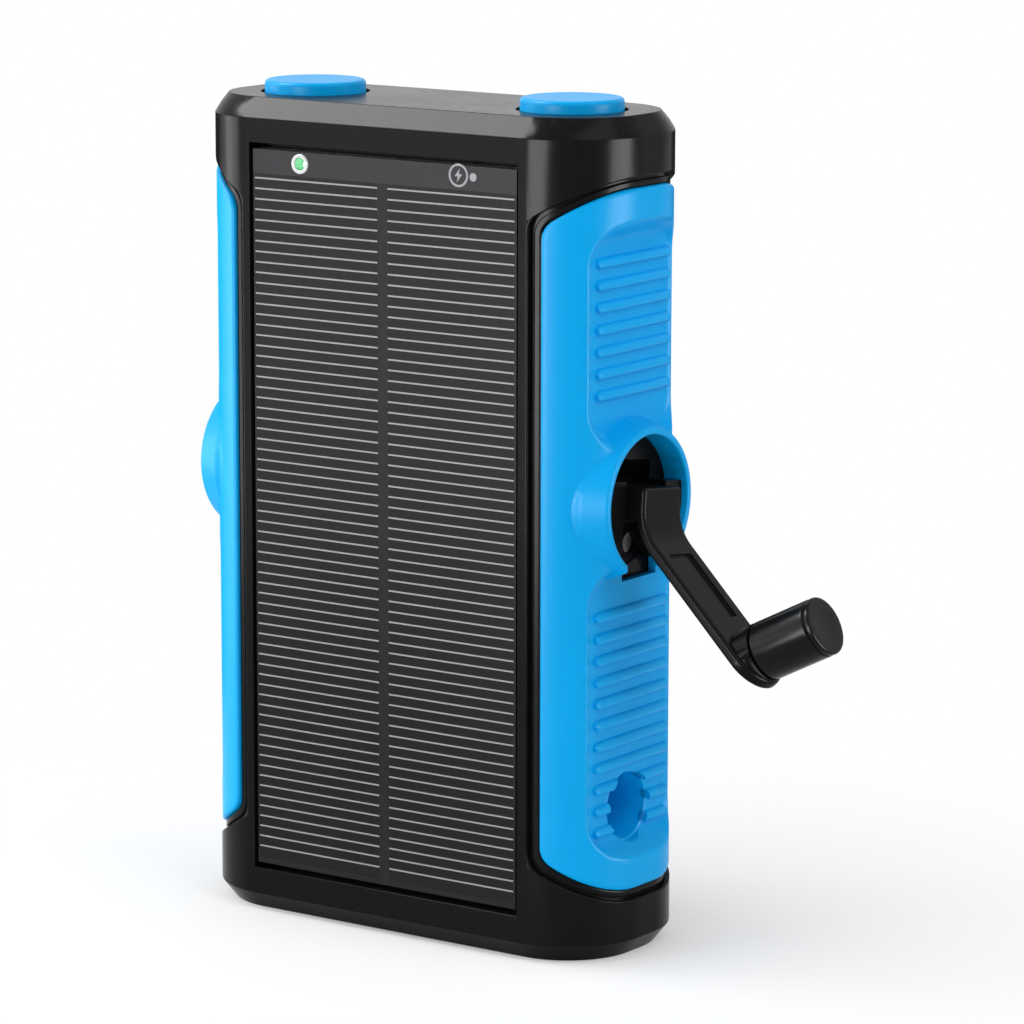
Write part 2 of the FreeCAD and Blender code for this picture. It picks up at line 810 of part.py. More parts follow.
def back_cover_screws():
    length = cover_thickness - screw_head_height + seal_thickness + cover_screw_length
    return group(pan_screw(Vec(x, back_y - screw_head_height, z), Vec(0, -1, 0), length)
                 for x, z in cover_screw_places())


# ---- push buttons and switches ------------------------------------------------------------

def push_button(side):
    x = side * button_x
    cap = rod_z(button_radius, button_flange_top, button_top, x)
    rim = [edge for edge in cap.Edges
           if abs(edge.BoundBox.ZMin - button_top) < tolerance and edge.BoundBox.ZLength < tolerance]
    cap = cap.makeFillet(button_edge, rim)
    flange = rod_z(button_flange_radius, button_flange_bottom, button_flange_top, x)
    stem = rod_z(button_stem_radius, stem_bottom, button_flange_bottom, x)
    return fused([cap, flange, stem])


def switch_plunger(side):
    return rod_z(plunger_radius, stem_bottom - plunger_length, stem_bottom, side * button_x)


def switch_body(side):
    x = side * button_x
    half = switch_side / 2
    body = block((x - half, x + half), (-half, half), (button_board_top, switch_top))
    depth = plunger_length - plunger_rise + button_travel
    return body.cut(rod_z(plunger_radius + plunger_gap, switch_top - depth - plunger_gap,
                          switch_top + over, x))


def button_board():
    board = block((-button_board_half_length, button_board_half_length),
                  (-button_board_half_depth, button_board_half_depth),
                  (button_board_bottom, button_board_top))
    holes = [rod_z(screw_radius, button_board_bottom - over, button_board_top + over, side * button_post_x)
             for side in (-1, 1)]
    return board.cut(holes)


# ---- crank hub ----------------------------------------------------------------------------

def hub_height(drop):
    """Height of a point that lies below the crank axis by drop, with the hub upright."""
    return crank_z - drop


def hub_screw_places():
    return [(side * hub_screw_side, hub_height(hub_screw_drop)) for side in (-1, 1)]


def crank_hub():
    disc = rod_x(hub_radius, hub_back_x, cheek_x, 0, crank_z)
    ledge_z = hub_height(hinge_drop) + ledge_above_hinge
    edge = hub_radius + over
    above = block((hub_face_x, cheek_x + over), (-edge, edge), (ledge_z, crank_z + edge))
    slot_low = hub_height(edge)
    step_z = hub_height(hinge_drop + knuckle_radius + slot_gap)
    slot = prism_y([(slot_floor_x, ledge_z), (cheek_x + over, ledge_z), (cheek_x + over, slot_low),
                    (slot_step_x, slot_low), (slot_step_x, step_z), (slot_floor_x, step_z)],
                   -slot_half, slot_half)
    relief = prism_y([(slot_floor_x, ledge_z - relief_root), (slot_floor_x, ledge_z),
                      (hub_face_x, hub_height(hinge_drop) + relief_reach),
                      (hub_face_x, ledge_z - relief_root)], -slot_half, slot_half)
    seat = rod_x(flange_radius + flange_fit, hub_back_x - over, hub_back_x + flange_thickness,
                 0, crank_z)
    pin_hole = rod_y(hinge_pin_radius, -edge, edge, hinge_x, hub_height(hinge_drop))
    cuts = [above, slot, relief, seat, pin_hole]
    for y, z in hub_screw_places():
        cuts.append(rod_x(hub_screw_radius, hub_back_x - over, cheek_x, y, z))
        cuts.append(rod_x(hub_screw_well, slot_floor_x, cheek_x, y, z))
    return turned(disc.cut(cuts))


def hub_shaft():
    flange = rod_x(flange_radius, hub_back_x, hub_back_x + flange_thickness, 0, crank_z)
    shaft = rod_x(shaft_radius, shaft_end_x, hub_back_x, 0, crank_z)
    shaft = shaft.cut(ring_x(shaft_radius + over, shaft_radius - clip_groove,
                             drive_gear_left - clip_thickness, drive_gear_left, 0, crank_z))
    holes = [rod_x(hub_screw_radius, hub_back_x - over, hub_back_x + flange_thickness + over, y, z)
             for y, z in hub_screw_places()]
    return turned(fused([flange, shaft]).cut(holes))


def hub_screws():
    screws = []
    for y, z in hub_screw_places():
        shank = rod_x(hub_screw_radius, hub_back_x, slot_floor_x, y, z)
        head = rod_x(hub_screw_head_radius, slot_floor_x, slot_floor_x + hub_screw_head_height, y, z)
        screws.append(turned(fused([shank, head])))
    return group(screws)


def hinge_pin():
    half = math.sqrt(hub_radius ** 2 - hinge_drop ** 2) - hinge_pin_sink
    return turned(rod_y(hinge_pin_radius, -half, half, hinge_x, hub_height(hinge_drop)))


def crank_bush():
    body = rod_x(bush_radius, gear_plate_x - bush_proud, cup_floor_x, 0, crank_z)
    flange = rod_x(bush_flange_radius, cup_floor_x - bush_flange_thickness, cup_floor_x, 0, crank_z)
    bore = rod_x(shaft_radius + shaft_running, gear_plate_x - over, cup_floor_x + over, 0, crank_z)
    return fused([body, flange]).cut(bore)


# ---- crank arm ----------------------------------------------------------------------------

def arm_frame():
    """Unit vectors along the straight arm and out of its face, as (x, drop)."""
    slope = math.radians(arm_slope)
    return (math.sin(slope), math.cos(slope)), (math.cos(slope), -math.sin(slope))


def arm_bend_centre():
    return arm_root_x + arm_bend_radius, arm_root_bottom


def arm_bend_end():
    """Inner-face point where the bend runs into the straight arm."""
    cx, cd = arm_bend_centre()
    along, out = arm_frame()
    return cx - arm_bend_radius * out[0], cd - arm_bend_radius * out[1]


def knob_place():
    """Inner-face point under the knob's foot, as (x, drop)."""
    x, drop = arm_bend_end()
    along, out = arm_frame()
    return x + along[0] * arm_reach, drop + along[1] * arm_reach


def arm_point(x, drop, y=0.0):
    return Vec(x, y, hub_height(drop))


def arm_side(offset, extend):
    """Side profile of the arm's plate as a list of edges, its inner face moved out by offset."""
    cx, cd = arm_bend_centre()
    along, out = arm_frame()
    radius = arm_bend_radius - offset
    middle = math.radians(arm_slope / 2)
    root = (arm_root_x + offset, hinge_drop - knuckle_radius)
    bend_start = (arm_root_x + offset, cd)
    bend_middle = (cx - radius * math.cos(middle), cd + radius * math.sin(middle))
    bend_end = (cx - radius * out[0], cd - radius * out[1])
    reach = arm_reach + extend
    tip = (bend_end[0] + along[0] * reach, bend_end[1] + along[1] * reach)
    return root, bend_start, bend_middle, bend_end, tip


def arm_plate():
    half = arm_width / 2
    inner = [arm_point(x, d, -half) for x, d in arm_side(0, half)]
    outer = [arm_point(x, d, -half) for x, d in arm_side(arm_thickness, half)]
    edges = [Part.makeLine(inner[0], inner[1]), Part.Arc(*inner[1:4]).toShape(),
             Part.makeLine(inner[3], inner[4]), Part.makeLine(inner[4], outer[4]),
             Part.makeLine(outer[4], outer[3]), Part.Arc(*outer[1:4]).toShape(),
             Part.makeLine(outer[1], outer[0]), Part.makeLine(outer[0], inner[0])]
    plate = Part.Face(Part.Wire(Part.__sortEdges__(edges))).extrude(Vec(0, arm_width, 0))
    return plate.common(arm_outline())


def arm_outline():
    """Everything up to the arm's round end, as seen along the straight arm's normal."""
    along, out = arm_frame()
    half = arm_width / 2
    kx, kd = knob_place()
    foot = arm_point(kx, kd)
    normal = Vec(out[0], 0, -out[1])
    deep = 2 * trim_reach
    low = foot - normal * trim_reach
    end = Part.makeCylinder(half, deep, low, normal)
    back = Vec(-along[0], 0, along[1])
    corner = low - Vec(0, half, 0)
    across = Vec(0, arm_width, 0)
    outline = [corner, corner + across, corner + across + back * deep, corner + back * deep]
    sides = Part.Face(Part.makePolygon(outline + [corner])).extrude(normal * deep)
    return fused([end, sides])


def knob_direction():
    tilt = math.radians(knob_tilt)
    return Vec(math.cos(tilt), 0, math.sin(tilt))


def knob_seat_point():
    """Centre of the arm's raised seat, where the knob's foot runs."""
    along, out = arm_frame()
    kx, kd = knob_place()
    face = arm_point(kx + out[0] * arm_thickness, kd + out[1] * arm_thickness)
    return face + knob_direction() * knob_seat_rise


def crank_arm():
    half = arm_width / 2
    plate = arm_plate()
    knuckle = rod_y(knuckle_radius, -half, half, hinge_x, hub_height(hinge_drop))
    root_x = arm_root_x + arm_thickness / 2
    lug = prism_y([(hinge_x, hub_height(hinge_drop - knuckle_radius)),
                   (root_x, hub_height(hinge_drop - knuckle_radius)),
                   (root_x, hub_height(hinge_drop + lug_foot)),
                   (hinge_x, hub_height(hinge_drop + knuckle_radius))], -half, half)
    along, out = arm_frame()
    direction = knob_direction()
    seat_base = knob_seat_point() - direction * (knob_seat_rise + arm_thickness)
    seat = Part.makeCylinder(knob_radius, knob_seat_rise + arm_thickness, seat_base, direction)
    kx, kd = knob_place()
    normal = Vec(out[0], 0, -out[1])
    keep = Part.makeCylinder(trim_reach, trim_reach, arm_point(kx, kd), normal)
    body = fused([plate, knuckle, lug, seat.common(keep)])

    bend_x, bend_drop = arm_bend_end()
    start = arm_channel_start
    stop = arm_reach - arm_channel_end
    channel = Part.makeBox(stop - start, arm_channel_width, arm_channel_depth + over)
    channel.translate(Vec(start, -arm_channel_width / 2, arm_thickness - arm_channel_depth))
    channel.Placement = FreeCAD.Placement(arm_point(bend_x, bend_drop), FreeCAD.Rotation(
        Vec(along[0], 0, -along[1]), Vec(0, 1, 0), normal, "XYZ")).multiply(channel.Placement)
    bore = rod_y(hinge_pin_radius + hinge_running, -half - over, half + over, hinge_x,
                 hub_height(hinge_drop))
    axle_hole = Part.makeCylinder(axle_radius, 2 * trim_reach,
                                  knob_seat_point() - direction * trim_reach, direction)
    return turned(body.cut([channel, bore, axle_hole]))


def knob_axle():
    direction = knob_direction()
    seat = knob_seat_point()
    top = knob_gap + knob_length - axle_head_height - axle_head_room - knob_cap_plug
    shank = Part.makeCylinder(axle_radius, trim_reach + top, seat - direction * trim_reach,
                              direction)
    along, out = arm_frame()
    kx, kd = knob_place()
    normal = Vec(out[0], 0, -out[1])
    keep = Part.makeCylinder(trim_reach, trim_reach, arm_point(kx, kd), normal)
    head = Part.makeCylinder(axle_head_radius, axle_head_height, seat + direction * top, direction)
    return turned(fused([shank.common(keep), head]))


def knob():
    direction = knob_direction()
    foot = knob_seat_point() + direction * knob_gap
    body = Part.makeCylinder(knob_radius, knob_length, foot, direction)
    room = axle_head_height + 2 * axle_head_room + knob_cap_plug
    bore = Part.makeCylinder(axle_radius + axle_running, knob_length, foot, direction)
    head_room = Part.makeCylinder(axle_head_radius + axle_head_room, room + over,
                                  foot + direction * (knob_length - room), direction)
    return turned(body.cut([bore, head_room]))


def knob_cap():
    direction = knob_direction()
    top = knob_seat_point() + direction * (knob_gap + knob_length)
    disc = Part.makeCylinder(knob_radius, knob_cap_length, top, direction)
    plug = Part.makeCylinder(axle_head_radius + axle_head_room, knob_cap_plug,
                             top - direction * knob_cap_plug, direction)
    return turned(fused([disc, plug]))


# ---- gear train ---------------------------------------------------------------------------

def involute(angle):
    return math.tan(angle) - angle


def gear_face_outline(teeth, first_tooth):
    """Spur gear outline in the YZ plane as a face; first_tooth is a tooth's angle in radians."""
    alpha = math.radians(pressure_angle)
    pitch = gear_module * teeth / 2
    base = pitch * math.cos(alpha)
    tip = pitch + gear_module - tip_trim
    root = pitch - dedendum_factor * gear_module
    half_tooth = math.pi / (2 * teeth) - gear_backlash / (2 * pitch) + involute(alpha)
    start = max(base, root)
    flank = [(root, half_tooth)] if root < base else []
    for step in range(flank_steps + 1):
        radius = start + (tip - start) * step / flank_steps
        flank.append((radius, half_tooth - involute(math.acos(min(1.0, base / radius)))))
    points = []
    for tooth in range(teeth):
        middle = first_tooth + 2 * math.pi * tooth / teeth
        for radius, angle in flank:
            points.append((radius, middle - angle))
        for radius, angle in reversed(flank):
            points.append((radius, middle + angle))
    corners = [Vec(0, radius * math.cos(angle), radius * math.sin(angle))
               for radius, angle in points]
    return Part.Face(Part.makePolygon(corners + corners[:1]))


def spur_gear(teeth, first_tooth, left, right, z):
    gear = gear_face_outline(teeth, first_tooth).extrude(Vec(right - left, 0, 0))
    gear.translate(Vec(left, 0, z))
    return gear


def tooth_up():
    return math.pi / 2


def gap_down(teeth):
    """First-tooth angle that leaves a gap pointing straight down."""
    return -math.pi / 2 + math.pi / teeth


def drive_gear():
    gear = spur_gear(gear_teeth, tooth_up(), drive_gear_left, drive_gear_right, crank_z)
    return gear.cut(rod_x(shaft_radius, drive_gear_left - over, drive_gear_right + over, 0, crank_z))


def drive_gear_clip():
    return ring_x(clip_radius, shaft_radius - clip_groove, drive_gear_left - clip_thickness,
                  drive_gear_left, 0, crank_z)


def idler_gear():
    pinion = spur_gear(pinion_teeth, gap_down(pinion_teeth), idler_pinion_left,
                       idler_pinion_right, idler_z)
    gear = spur_gear(gear_teeth, tooth_up(), idler_gear_left, idler_gear_right, idler_z)
    web = rod_x(idler_hub_radius, idler_gear_right, idler_pinion_left, 0, idler_z)
    hub = rod_x(idler_hub_radius, rear_plate_right + idler_end_gap, idler_gear_left, 0, idler_z)
    bore = rod_x(idler_shaft_radius + idler_running, rear_plate_right - over, gear_plate_x + over,
                 0, idler_z)
    return pinion.fuse([gear, web, hub]).cut(bore)


def idler_shaft():
    return rod_x(idler_shaft_radius, rear_plate_x, cup_back_x, 0, idler_z)


def rotor_pinion():
    pinion = spur_gear(pinion_teeth, gap_down(pinion_teeth), rotor_pinion_left,
                       rotor_pinion_right, rotor_z)
    return pinion.cut(rod_x(rotor_shaft_radius, rotor_pinion_left - over, rotor_pinion_right + over,
                            0, rotor_z))


# ---- gearbox ------------------------------------------------------------------------------

def gear_plate(left, hub_hole, rotor_hole):
    plate = block((left, left + gear_plate_thickness),
                  (-gear_plate_half_width, gear_plate_half_width),
                  (gear_plate_bottom, gear_plate_top))
    cuts = [rod_x(idler_shaft_radius, left - over, left + gear_plate_thickness + over, 0, idler_z)]
    for radius, z in ((hub_hole, crank_z), (rotor_hole, rotor_z)):
        if radius > 0:
            cuts.append(rod_x(radius, left - over, left + gear_plate_thickness + over, 0, z))
    for y, z in gear_screw_places():
        cuts.append(rod_x(screw_radius, left - over, left + gear_plate_thickness + over, y, z))
    return plate.cut(cuts)


def gearbox_front_plate():
    return gear_plate(gear_plate_x, bush_radius, 0)


def gearbox_rear_plate():
    return gear_plate(rear_plate_x, 0, can_nose_radius)


def gearbox_spacers():
    return group(ring_x(spacer_radius, screw_radius, rear_plate_right, gear_plate_x, y, z)
                 for y, z in gear_screw_places())


def gearbox_screws():
    length = cup_back_x - rear_plate_x + side_wall
    return group(pan_screw(Vec(rear_plate_x, y, z), Vec(1, 0, 0), length)
                 for y, z in gear_screw_places())


# ---- generator ----------------------------------------------------------------------------

def generator_can():
    body = rod_x(can_radius, can_left, can_right, 0, rotor_z)
    room = rod_x(can_radius - can_wall, can_left - over, can_right - can_wall, 0, rotor_z)
    nose = rod_x(can_nose_radius, can_right, can_right + can_nose_length, 0, rotor_z)
    bore = rod_x(rotor_shaft_radius + rotor_running, can_left, can_right + can_nose_length + over,
                 0, rotor_z)
    return fused([body.cut(room), nose]).cut(bore)


def magnet_left():
    return commutator_right() + magnet_start_gap


def generator_magnets():
    left = magnet_left()
    right = can_right - can_wall - magnet_end_gap
    outer = can_radius - can_wall
    magnets = []
    for middle in (0.0, half_turn):
        sector = Part.makeCylinder(outer, right - left, Vec(0, 0, 0), Vec(0, 0, 1), magnet_span)
        sector.rotate(Vec(0, 0, 0), Vec(0, 0, 1), middle - magnet_span / 2)
        sector.rotate(Vec(0, 0, 0), Vec(0, 1, 0), 90)
        sector.translate(Vec(left, 0, rotor_z))
        magnets.append(sector.cut(rod_x(magnet_inner, left - over, right + over, 0, rotor_z)))
    return group(magnets)


def generator_end_cap():
    cap = rod_x(can_radius - can_wall, can_left, can_left + end_cap_length, 0, rotor_z)
    return cap.cut(rod_x(rotor_shaft_radius + rotor_running, can_left - over,
                         can_left + end_cap_length + over, 0, rotor_z))


def commutator_right():
    return can_left + end_cap_length + commutator_gap + commutator_length


def generator_brushes():
    """Two carbon blocks, carried by the end cap, that stop just short of the commutator."""
    left = can_left + end_cap_length
    near = commutator_radius + brush_gap
    far = near + brush_length
    half = brush_height / 2
    return group(block((left, left + brush_width), y, (rotor_z - half, rotor_z + half))
                 for y in ((near, far), (-far, -near)))


def rotor_shaft():
    return rod_x(rotor_shaft_radius, can_left + rotor_shaft_sink, rotor_pinion_right, 0, rotor_z)


def rotor_core():
    left = magnet_left() + rotor_core_inset
    right = left + rotor_core_length
    core = rod_x(rotor_radius, left, right, 0, rotor_z)
    cuts = [rod_x(rotor_shaft_radius, left - over, right + over, 0, rotor_z)]
    half = rotor_slot_width / 2
    for index in range(rotor_slots):
        slot = block((left - over, right + over), (rotor_radius - rotor_slot_depth, rotor_radius + over),
                     (-half, half))
        slot.rotate(Vec(0, 0, 0), Vec(1, 0, 0), 360.0 * index / rotor_slots)
        slot.translate(Vec(0, 0, rotor_z))
        cuts.append(slot)
    return core.cut(cuts)


def commutator():
    right = commutator_right()
    return ring_x(commutator_radius, rotor_shaft_radius, right - commutator_length, right,
                  0, rotor_z)


# ---- batteries ----------------------------------------------------------------------------

def battery_x(index):
    return first_cell_x + cell_pitch * index


def battery_cell(index):
    x = battery_x(index)
    shoulder = cell_top - cell_button_height
    can = rod_z(cell_radius, cell_bottom, shoulder, x, cell_y)
    button = rod_z(cell_button_radius, shoulder, cell_top, x, cell_y)
    return fused([can, button])


def battery_holder():
    left = battery_x(0) - cell_radius
    right = battery_x(cell_count - 1) + cell_radius
    cradle = block((left, right), (room_front_y, cell_y - cell_radius + holder_half_depth),
                   (holder_bottom, cell_top - holder_top_gap))
    floor = block((left, right), (room_front_y, cell_y + cell_radius / 2),
                  (holder_bottom, holder_bottom + holder_floor))
    body = cradle.fuse(floor).common(case_prism(-room_inset - holder_gap, 0, case_height))
    cuts = [block((left, right), (cell_y - contact_half_depth - holder_gap,
                                  cell_y + contact_half_depth + holder_gap),
                  (cell_bottom - contact_thickness, cell_bottom + holder_gap))]
    for index in range(cell_count):
        cuts.append(rod_z(cell_radius + holder_gap, holder_bottom + holder_floor, cell_top,
                          battery_x(index), cell_y))
    return body.cut(cuts).removeSplitter()


def cell_contacts():
    """Welded strips across the ends of the cells."""
    left = battery_x(0) - contact_half_depth
    right = battery_x(cell_count - 1) + contact_half_depth
    y = (cell_y - contact_half_depth, cell_y + contact_half_depth)
    return group([block((left, right), y, (cell_bottom - contact_thickness, cell_bottom)),
                  block((left, right), y, (cell_top, cell_top + contact_thickness))])


# ---- main board ---------------------------------------------------------------------------

def main_board():
    board = block((main_board_left, main_board_right), (main_board_y, board_back_y),
                  (main_board_bottom, main_board_top))
    return board.cut([rod_y(screw_radius, main_board_y - over, board_back_y + over, x, z)
                      for x, z in board_post_places()])


def board_screws():
    screws = [pan_screw(Vec(x, board_back_y, z), Vec(0, -1, 0), board_thickness + board_screw_length)
              for x, z in board_post_places()]
    screws += [pan_screw(Vec(side * button_post_x, 0, button_board_bottom), Vec(0, 0, 1),
                         board_thickness + board_screw_length) for side in (-1, 1)]
    return group(screws)


def usb_socket(z, width, height, tongue_width, tongue):
    half_w = width / 2
    half_h = height / 2
    room_w = half_w - port_wall
    room_h = half_h - port_wall
    shell = block((port_x - half_w, port_x + half_w), (board_back_y, port_end_y),
                  (z - half_h, z + half_h))
    room = block((port_x - room_w, port_x + room_w),
                 (board_back_y + port_back, port_end_y + over), (z - room_h, z + room_h))
    tongue_body = block((port_x - tongue_width / 2, port_x + tongue_width / 2),
                        (board_back_y + tongue_root, port_end_y - tongue_inset),
                        (z - tongue / 2, z + tongue / 2))
    return fused([shell.cut(room), tongue_body])


def board_coil():
    half = coil_side / 2
    return block((board_middle_x - half, board_middle_x + half),
                 (main_board_y - coil_height, main_board_y),
                 (coil_z - half, coil_z + half))


def board_capacitors():
    middle = (capacitor_count - 1) / 2
    return group(rod_y(capacitor_radius, main_board_y - capacitor_height, main_board_y,
                       board_middle_x + (index - middle) * capacitor_pitch, capacitor_z)
                 for index in range(capacitor_count))


# ---- the whole object ---------------------------------------------------------------------

def all_parts():
    parts = {
        "main_case": main_case(),
        "grip_right": grip_right(),
        "grip_left": grip_left(),
        "grip_screws": grip_screws(),
        "panel_tape": panel_sheet(tape_y, tape_thickness),
        "panel_board": panel_sheet(panel_board_y, panel_board_thickness),
        "solar_cell_left": solar_cell(-1),
        "solar_cell_right": solar_cell(1),
        "panel_window": panel_window(),
        "status_led_ring": status_led_ring(),
        "status_led_lens": status_led_lens(),
        "back_cover": back_cover(),
        "case_seal": case_seal(),
        "back_cover_screws": back_cover_screws(),
        "button_board": button_board(),
        "crank_hub": crank_hub(),
        "hub_shaft": hub_shaft(),
        "hub_screws": hub_screws(),
        "hinge_pin": hinge_pin(),
        "crank_bush": crank_bush(),
        "crank_arm": crank_arm(),
        "knob_axle": knob_axle(),
        "knob": knob(),
        "knob_cap": knob_cap(),
        "drive_gear": drive_gear(),
        "drive_gear_clip": drive_gear_clip(),
        "idler_gear": idler_gear(),
        "idler_shaft": idler_shaft(),
        "gearbox_front_plate": gearbox_front_plate(),
        "gearbox_rear_plate": gearbox_rear_plate(),
        "gearbox_spacers": gearbox_spacers(),
        "gearbox_screws": gearbox_screws(),
        "generator_can": generator_can(),
        "generator_magnets": generator_magnets(),
        "generator_end_cap": generator_end_cap(),
        "generator_brushes": generator_brushes(),
        "rotor_shaft": rotor_shaft(),
        "rotor_core": rotor_core(),
        "commutator": commutator(),
        "rotor_pinion": rotor_pinion(),
        "battery_holder": battery_holder(),
        "cell_contacts": cell_contacts(),
        "main_board": main_board(),
        "board_screws": board_screws(),
        "usb_a_socket": usb_socket(usb_a_z, usb_a_width, usb_a_height, usb_a_tongue_width,
                                   usb_a_tongue),
        "usb_c_socket": usb_socket(usb_c_z, usb_c_width, usb_c_height, usb_c_tongue_width,
                                   usb_c_tongue),
        "board_coil": board_coil(),
        "board_capacitors": board_capacitors(),
    }
    for side, name in ((-1, "left"), (1, "right")):
        parts["button_" + name] = push_button(side)
        parts["switch_plunger_" + name] = switch_plunger(side)
        parts["switch_body_" + name] = switch_body(side)
    for index in range(cell_count):
        parts["battery_cell_%d" % (index + 1)] = battery_cell(index)
    return parts


os.makedirs("parts", exist_ok=True)
for name, shape in all_parts().items():
    shape.exportStep("parts/" + name + ".step")
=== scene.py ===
import json
import math

import bmesh
import bpy
import numpy as np
from mathutils import Matrix, Vector, geometry


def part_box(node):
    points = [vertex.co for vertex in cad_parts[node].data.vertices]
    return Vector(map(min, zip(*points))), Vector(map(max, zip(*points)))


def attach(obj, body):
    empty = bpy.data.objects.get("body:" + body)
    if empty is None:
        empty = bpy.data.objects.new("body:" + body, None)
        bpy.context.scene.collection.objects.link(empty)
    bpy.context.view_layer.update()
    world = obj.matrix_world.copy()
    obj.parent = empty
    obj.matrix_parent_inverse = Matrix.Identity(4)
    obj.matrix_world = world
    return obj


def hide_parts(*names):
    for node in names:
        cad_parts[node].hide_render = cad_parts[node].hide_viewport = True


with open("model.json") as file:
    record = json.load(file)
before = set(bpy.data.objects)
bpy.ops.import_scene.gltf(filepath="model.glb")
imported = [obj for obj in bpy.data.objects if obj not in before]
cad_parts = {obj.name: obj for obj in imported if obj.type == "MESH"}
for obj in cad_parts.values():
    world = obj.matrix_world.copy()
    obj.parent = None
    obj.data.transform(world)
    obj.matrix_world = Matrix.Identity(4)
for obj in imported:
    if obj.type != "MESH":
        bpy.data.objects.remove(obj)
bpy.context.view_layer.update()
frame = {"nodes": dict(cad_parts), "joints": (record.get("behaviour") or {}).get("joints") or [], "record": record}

bl_info = {
    "name": "Hand Crank Generator",
    "version": (1, 0, 0),
    "blender": (4, 5, 0),
    "location": "View3D > Sidebar > Generator",
    "description": "Dresses a hand crank generator with moulded, printed and metal finishes",
    "category": "Object",
}

MM = 0.001
FLAT_ANGLE = 0.4  # degrees, under which the faces of a CAD node count as one
SLOTS = {part["node"]: part["material_slot"] for part in frame["record"]["subparts"]}
JOINTS = {joint["name"]: joint for joint in frame["joints"]}


def box_mm(node):
    """Lowest and highest corners of a CAD node, in millimetres."""
    low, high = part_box(node)
    return low / MM, high / MM


CASE_LOW, CASE_HIGH = box_mm("main_case")
GRIP_LOW, GRIP_HIGH = box_mm("grip_right")
WINDOW_LOW, _ = box_mm("panel_window")
CRANK_Z = JOINTS["hub_spin"]["pos_m"][2] / MM


# ---- sizes and colours a user would change ------------------------------------------------

def length(name, description, value):
    return bpy.props.FloatProperty(name=name, description=description, default=value * MM,
                                   min=0.0, precision=5, subtype="DISTANCE", unit="LENGTH")


def colour(name, description, red, green, blue):
    """Colour property from eight-bit display values."""
    linear = [display_to_linear(value / 255.0) for value in (red, green, blue)]
    return bpy.props.FloatVectorProperty(name=name, description=description, default=linear,
                                         min=0.0, max=1.0, size=3, subtype="COLOR")


def display_to_linear(value):
    if value <= 0.04045:
        return value / 12.92
    return ((value + 0.055) / 1.055) ** 2.4


class GeneratorSizes(bpy.types.PropertyGroup):
    """Sizes of the details that dress the generator"""
    case_easing: length("Case edges", "Rounding of the case's outer edges", 0.16)
    shoulder_draw: length("Shoulder draw", "How far the case's top edges are drawn in", 1.0)
    cover_easing: length("Cover edges", "Rounding of the back cover's edges", 0.2)
    grip_easing: length("Grip edges", "Rounding of the rubber grips' outer edges", 0.7)
    grip_corner: length("Grip corners", "Easing of the grips' four corners", 2.2)
    channel_corner: length("Channel corners", "Easing of the corners of the channel round a grip",
                           3.2)
    channel_lip: length("Channel lip", "Rounding of the channel's outer edge", 0.34)
    channel_slot: length("Channel slot", "Width of the slot at the foot of the channel's wall",
                         0.75)
    slot_depth: length("Slot depth", "Depth of the slot under the channel's floor", 0.7)
    grip_wall: length("Grip wall", "Depth of the grips' side walls", 1.5)
    pocket_lip: length("Pocket lip", "Softness of the lip round the ribbed pockets", 0.9)
    pocket_foot: length("Pocket foot", "Softness of the foot of the pockets' walls", 0.28)
    boss_rim: length("Boss rim", "Rounding of the crank boss's outer rim", 0.6)
    boss_foot: length("Boss foot", "Softness of the foot of the crank boss", 0.35)
    rib_half_length: length("Rib half length", "Half the length of a grip rib", 12.3)
    rib_half_width: length("Rib half width", "Half the width of a grip rib", 0.92)
    rib_height: length("Rib height", "Height of a grip rib over the pocket floor", 1.0)
    rib_lean: length("Rib lean", "How far a rib's crest leans down", 0.35)
    button_easing: length("Button edges", "Rounding of the push buttons' rims", 0.9)
    button_dish: length("Button dish", "How far the buttons' tops are dished", 0.12)
    finger_pitch: length("Finger pitch", "Spacing of the silver finger lines", 2.025)
    finger_width: length("Finger width", "Width of a silver finger line", 0.3)
    panel_gap: length("Panel gap", "Dark gap added above and below the solar panel", 0.55)
    hub_easing: length("Hub edges", "Rounding of the crank hub's edges", 0.35)
    arm_easing: length("Arm edges", "Rounding of the crank arm's edges", 0.7)
    knob_rim: length("Knob rim", "How far the knob's seam lies from its end", 1.2)
    knob_seam: length("Knob seam", "Depth of the knob's seam grooves", 0.22)
    screw_recess: length("Screw recess", "Depth of the cross recess in the screws", 0.7)


class GeneratorColours(bpy.types.PropertyGroup):
    """Colours of the generator's finishes"""
    case_black: colour("Case black", "Moulded case and back cover", 15, 15, 16)
    grip_blue: colour("Grip blue", "Rubber grips and push buttons", 4, 166, 236)
    crank_black: colour("Crank black", "Crank hub and arm", 15, 15, 15)
    knob_black: colour("Knob black", "Turning knob and its cap", 16, 16, 16)
    silicon: colour("Silicon", "Solar cells under the window", 14, 15, 18)
    finger_silver: colour("Finger silver", "Printed finger lines and pictogram", 135, 136, 139)
    laminate: colour("Laminate", "Board behind the solar cells", 104, 104, 107)
    window_cells: colour("Window over cells", "Panel face over the solar cells", 23, 23, 25)
    window_gap: colour("Window over gap", "Panel face between the cells", 31, 31, 33)
    window_header: colour("Window header", "Panel face above the cells", 50, 50, 53)
    lamp_green: colour("Lamp green", "Lens of the status lamp", 62, 182, 104)
    lamp_white: colour("Lamp ring", "Ring round the status lamp", 196, 200, 199)
    steel: colour("Steel", "Screws, pins and shells", 176, 178, 182)
    floor: colour("Floor", "The plain floor", 246, 246, 246)


# ---- node trees ---------------------------------------------------------------------------

COLOR, FLOAT, VECTOR = "NodeSocketColor", "NodeSocketFloat", "NodeSocketVector"
GEOMETRY, MATERIAL = "NodeSocketGeometry", "NodeSocketMaterial"
GREY, WHITE = (0.5, 0.5, 0.5, 1.0), (1.0, 1.0, 1.0, 1.0)


